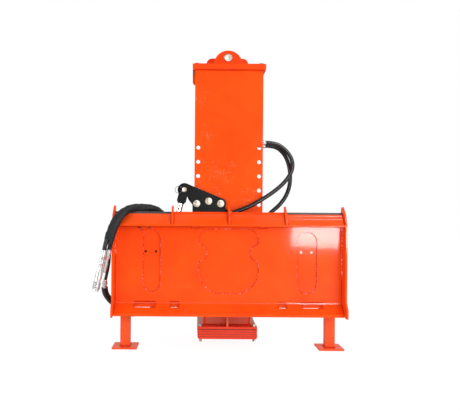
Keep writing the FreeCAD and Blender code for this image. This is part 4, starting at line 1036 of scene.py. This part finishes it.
def ferrule_into(work, start, axis, radius, length, hose_radius):
    """A crimped ferrule over the hose's end: rings pressed in, and a rolled lip."""
    groove = radius - 0.0011
    profile = [(-0.002, hose_radius - 0.0002), (-0.0018, radius - 0.0008), (-0.0008, radius - 0.0004)]
    at = 0.0
    while at < length - 0.006:
        profile += [(at, groove), (at + 0.0007, radius), (at + 0.0021, radius), (at + 0.0028, groove)]
        at += 0.0034
    profile += [(length - 0.001, radius - 0.0012), (length, radius - 0.003)]
    turned_into(work, profile, start, axis, 40)


def straight_fitting(name, route, from_start, sizes, body):
    """Ferrule, hexagon and stem from a hose's end towards what it screws into; sizes is (radius, length)."""
    start, axis = start_of(route) if from_start else end_of(route)
    work = bmesh.new()
    (ferrule_r, ferrule_l), (hex_r, hex_l), (stem_r, stem_l) = sizes
    ferrule_into(work, start, axis, ferrule_r, ferrule_l, HOSE_D / 2)
    turned_into(work, chamfered(ferrule_l - 0.003, ferrule_l + 0.001, hex_r * 0.8, 0.0004), start, axis)
    hexagon_into(work, start + axis * (ferrule_l + 0.0005), axis, hex_r * math.sqrt(3), hex_l, 0.9)
    turned_into(work, chamfered(ferrule_l + hex_l, ferrule_l + hex_l + stem_l, stem_r, 0.0006), start, axis)
    return finished(name, work, zinc, body)


def wrap_shell():
    """Flat nylon wrap pulled over the two coupler hoses, creased where it bends and cuffed at its lower end."""
    line_a, line_b = centre_line(LEFT_A), centre_line(LEFT_B)
    start, stop = 0.10, 0.885
    rings, girth = 150, 44
    noise_source = random.Random(5)
    phases = [noise_source.uniform(0, 6.28) for _ in range(6)]
    work = bmesh.new()
    uv = work.loops.layers.uv.new("girth_and_length")
    loops = []

    def sample(line, t):
        at = t * (len(line) - 1)
        i = min(int(at), len(line) - 2)
        return line[i].lerp(line[i + 1], at - i)

    length = 0.0
    previous = None
    stations = []
    for ring in range(rings + 1):
        t = start + (stop - start) * ring / rings
        a, b = sample(line_a, t), sample(line_b, t)
        middle = (a + b) / 2
        ahead = (sample(line_a, t + 0.004) + sample(line_b, t + 0.004)) / 2
        tangent = (ahead - middle).normalized()
        across = (b - a) - tangent * (b - a).dot(tangent)
        half = across.length / 2
        across.normalize()
        outward = tangent.cross(across)
        if previous is not None:
            length += (middle - previous).length
        previous = middle
        stations.append(length)
        near_end = max(0.0, 1 - (rings - ring) / 14)
        cuff = 0.0010 * (1 if near_end > 0.05 else 0) - 0.0018 * (ring in (rings - 4, rings - 3))
        fullness = math.sin(math.pi * min(1.0, 1.25 * ring / rings)) ** 2
        middle = middle - UP * 0.006 * fullness
        loop = []
        for i in range(girth):
            angle = 2 * math.pi * i / girth
            c, s = math.cos(angle), math.sin(angle)
            wide = half + 0.0121 + cuff
            thick = 0.0146 + 0.0050 * fullness + cuff
            x = math.copysign(abs(c) ** 0.72, c) * wide
            y = math.copysign(abs(s) ** 0.86, s) * thick
            fold = 0.0006 * math.sin(length * 150 + 2.2 * math.sin(angle + phases[0]) + phases[1])
            fold += 0.0004 * math.sin(length * 260 + 3 * math.cos(angle + phases[2]) + phases[3])
            lengthwise = 0.0009 * math.sin(5 * angle + 9 * length + phases[4])
            crease = (fold + lengthwise) * (1 - near_end)
            direction = Vector((x, y, 0)).normalized()
            x += direction.x * crease
            y += direction.y * crease
            loop.append(work.verts.new(middle + across * x + outward * y))
        loops.append(loop)
    for row, (low, high) in enumerate(zip(loops, loops[1:])):
        for i in range(girth):
            j = (i + 1) % girth
            face = work.faces.new((low[i], low[j], high[j], high[i]))
            corners = ((i, row), (i + 1, row), (i + 1, row + 1), (i, row + 1))
            for loop, (u, v) in zip(face.loops, corners):
                loop[uv].uv = (u / girth * 0.14, stations[v])
    piece = finished("hose_wrap", work, nylon, "carrier", 60)
    thickness = piece.modifiers.new("cloth", "SOLIDIFY")
    thickness.thickness = 0.0012
    thickness.offset = -1
    return piece


def thin_hose_joint():
    """Plated union in the thin hose beside the left foot, with a thick rubber guard below it."""
    line = centre_line(TILT)

    def nearest(point):
        return min(range(len(line)), key=lambda i: (line[i] - point).length)

    first, last = nearest(drawn(-0.560, 0.178, 0.194)), nearest(drawn(-0.616, 0.062, 0.308))
    covered = line[first:last + 1]
    final = len(covered) - 1
    work = bmesh.new()
    rings = []
    for i, point in enumerate(covered):
        ahead = covered[min(i + 1, final)] - covered[max(i - 1, 0)]
        radius = 0.0158 + 0.0006 * math.sin(i * 1.9) - (0.0035 if i in (0, final) else 0.0)
        rings.append(ring_into(work, axis_frame(point, ahead.normalized()), 0, radius, 24))
    skinned(work, rings)
    guard = finished("thin_hose_guard", work, rubber_cover, "carrier", 50)
    start = line[last]
    axis = (line[last + 4] - start).normalized()
    work = bmesh.new()
    ferrule_into(work, start + axis * 0.001, axis, 0.0118, 0.016, THIN_HOSE_D / 2)
    hexagon_into(work, start + axis * 0.017, axis, 0.024, 0.009)
    hexagon_into(work, start + axis * 0.028, axis, 0.021, 0.008)
    turned_into(work, chamfered(0.035, 0.047, 0.0098, 0.0008), start, axis)
    union = finished("thin_hose_union", work, zinc, "carrier")
    return [guard, union]


def build_hoses():
    supply = hose_curve("supply_hose", SUPPLY, HOSE_D, "hammer", "hose_supply")
    returning = hose_curve("return_hose", RETURN, HOSE_D, "hammer", "hose_return")
    left_a = hose_curve("coupler_hose_a", LEFT_A, HOSE_D, "carrier", "hose_left_a")
    left_b = hose_curve("coupler_hose_b", LEFT_B, HOSE_D, "carrier", "hose_left_b")
    thin = hose_curve("thin_hose", TILT, THIN_HOSE_D, "carrier", "hose_tilt")
    upper_sizes = ((0.0125, 0.022), (0.0115, 0.012), (0.010, 0.045))
    first = straight_fitting("supply_fitting", SUPPLY, True, upper_sizes, "hammer")
    straight_fitting("return_fitting", RETURN, True, upper_sizes, "hammer")
    straight_fitting("supply_lower_fitting", SUPPLY, False, ((0.0112, 0.010), (0.009, 0.008), (0.006, 0.006)),
                     "hammer")
    straight_fitting("return_lower_fitting", RETURN, False, ((0.0125, 0.010), (0.011, 0.009), (0.008, 0.004)),
                     "hammer")
    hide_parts("hose_adapters")
    junction_sizes = ((0.0117, 0.010), (0.011, 0.010), (0.008, 0.008))
    fitting_a = straight_fitting("junction_fitting_a", LEFT_A, True, junction_sizes, "carrier")
    straight_fitting("junction_fitting_b", LEFT_B, True, junction_sizes, "carrier")
    start, axis = start_of(TILT)
    work = bmesh.new()
    hexagon_into(work, start - axis * 0.010, axis, 0.019, 0.012)
    turned_into(work, chamfered(0.0, 0.018, 0.008, 0.0005), start, axis)
    finished("junction_fitting_thin", work, zinc, "carrier")
    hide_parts("junction_adapters")
    joint = thin_hose_joint()
    wrap = wrap_shell()


# ---- studio ----

def build_floor():
    half, z = 14.0, -0.001
    data = bpy.data.meshes.new("studio_floor")
    corners = [(-half, -half, z), (half, -half, z), (half, half, z), (-half, half, z)]
    data.from_pydata(corners, [], [(0, 1, 2, 3)])
    floor = bpy.data.objects.new("studio_floor", data)
    bpy.context.scene.collection.objects.link(floor)
    material, tree, shader = blank_material("studio_white", (0.9, 0.9, 0.9), 0.9)
    seen = add(tree, "ShaderNodeLightPath").outputs["Is Camera Ray"]
    glow = add(tree, "ShaderNodeEmission", {"Color": (1, 1, 1, 1), "Strength": 1.08}).outputs[0]
    mix = add(tree, "ShaderNodeMixShader", {0: product(tree, seen, 0.86), 1: shader.outputs[0], 2: glow})
    tree.links.new(mix.outputs[0], tree.nodes["Material Output"].inputs["Surface"])
    data.materials.append(material)


def build_world():
    """White where it is seen, with a dimmer room in front of the object for gloss to show."""
    world = bpy.data.worlds.new("studio")
    bpy.context.scene.world = world
    world.use_nodes = True
    tree = world.node_tree
    rays = add(tree, "ShaderNodeLightPath").outputs
    direction = add(tree, "ShaderNodeTexCoord").outputs["Generated"]
    depth = add(tree, "ShaderNodeSeparateXYZ", {0: direction}).outputs["Y"]
    room = add(tree, "ShaderNodeMapRange", {
        "Value": depth, "From Min": -0.7, "From Max": 0.1, "To Min": 0.28, "To Max": 1.0}).outputs["Result"]
    level = calculated(tree, "MAXIMUM", rays["Is Camera Ray"], rays["Is Transmission Ray"])
    level = calculated(tree, "MAXIMUM", level, product(tree, rays["Is Glossy Ray"], room))
    level = calculated(tree, "MAXIMUM", level, product(tree, rays["Is Diffuse Ray"], 0.62))
    background = tree.nodes["Background"]
    background.inputs["Color"].default_value = (1, 1, 1, 1)
    tree.links.new(level, background.inputs["Strength"])


def soft_box(name, centre, target, width, height, watts):
    light = bpy.data.lights.new(name, "AREA")
    light.shape = "RECTANGLE"
    light.size = width
    light.size_y = height
    light.energy = watts
    lamp = bpy.data.objects.new(name, light)
    lamp.location = centre
    lamp.rotation_mode = "QUATERNION"
    lamp.rotation_quaternion = (Vector(target) - Vector(centre)).to_track_quat("-Z", "Y")
    lamp.visible_camera = False
    bpy.context.scene.collection.objects.link(lamp)
    return lamp


def build_lights():
    """Plain soft light, and three boxes that only gloss shows: a low strip, a high panel, one on the left."""
    middle = (0, 0, 0.6)
    for box in (("front_right", (2.4, -3.4, 1.5), middle, 1.8, 1.6, 70),
                ("front_left", (-2.7, -3.2, 1.1), middle, 1.8, 1.6, 26),
                ("top", (0.2, -0.4, 3.6), middle, 2.4, 2.0, 20)):
        soft_box(*box).visible_glossy = False
    for box in (("gloss_right", (1.42, -3.65, 0.46), (1.42, 0, 0.46), 1.12, 0.25, 88),
                ("gloss_high", (1.5, -2.2, 2.75), (0.4, 0, 0.5), 1.1, 2.9, 160),
                ("gloss_left", (-3.2, -2.0, 1.2), middle, 0.9, 2.2, 60)):
        soft_box(*box).visible_diffuse = False


def build_camera():
    """Eye level with the frame's top, left of the middle, with a slight lean."""
    data = bpy.data.cameras.new("camera")
    data.sensor_width = 36.0
    data.lens = 50.0
    data.shift_x = 0.0804
    data.shift_y = 0.0163
    camera = bpy.data.objects.new("camera", data)
    lean = 0.0075
    c, s = math.cos(lean), math.sin(lean)
    camera.matrix_world = Matrix(((c, -s, 0, -0.179), (0, 0, -1, -3.3345), (s, c, 0, 0.681), (0, 0, 0, 1)))
    bpy.context.scene.collection.objects.link(camera)
    bpy.context.scene.camera = camera


build_camera()
build_hoses()
build_frame()
frame_welds()
leg_welds()
build_hammer()
hammer_welds()
hex_bolts()
crank_fasteners()
lug_pin()
cylinder_trim()
build_floor()
build_world()
build_lights()
bpy.context.scene.view_settings.view_transform = "Standard"
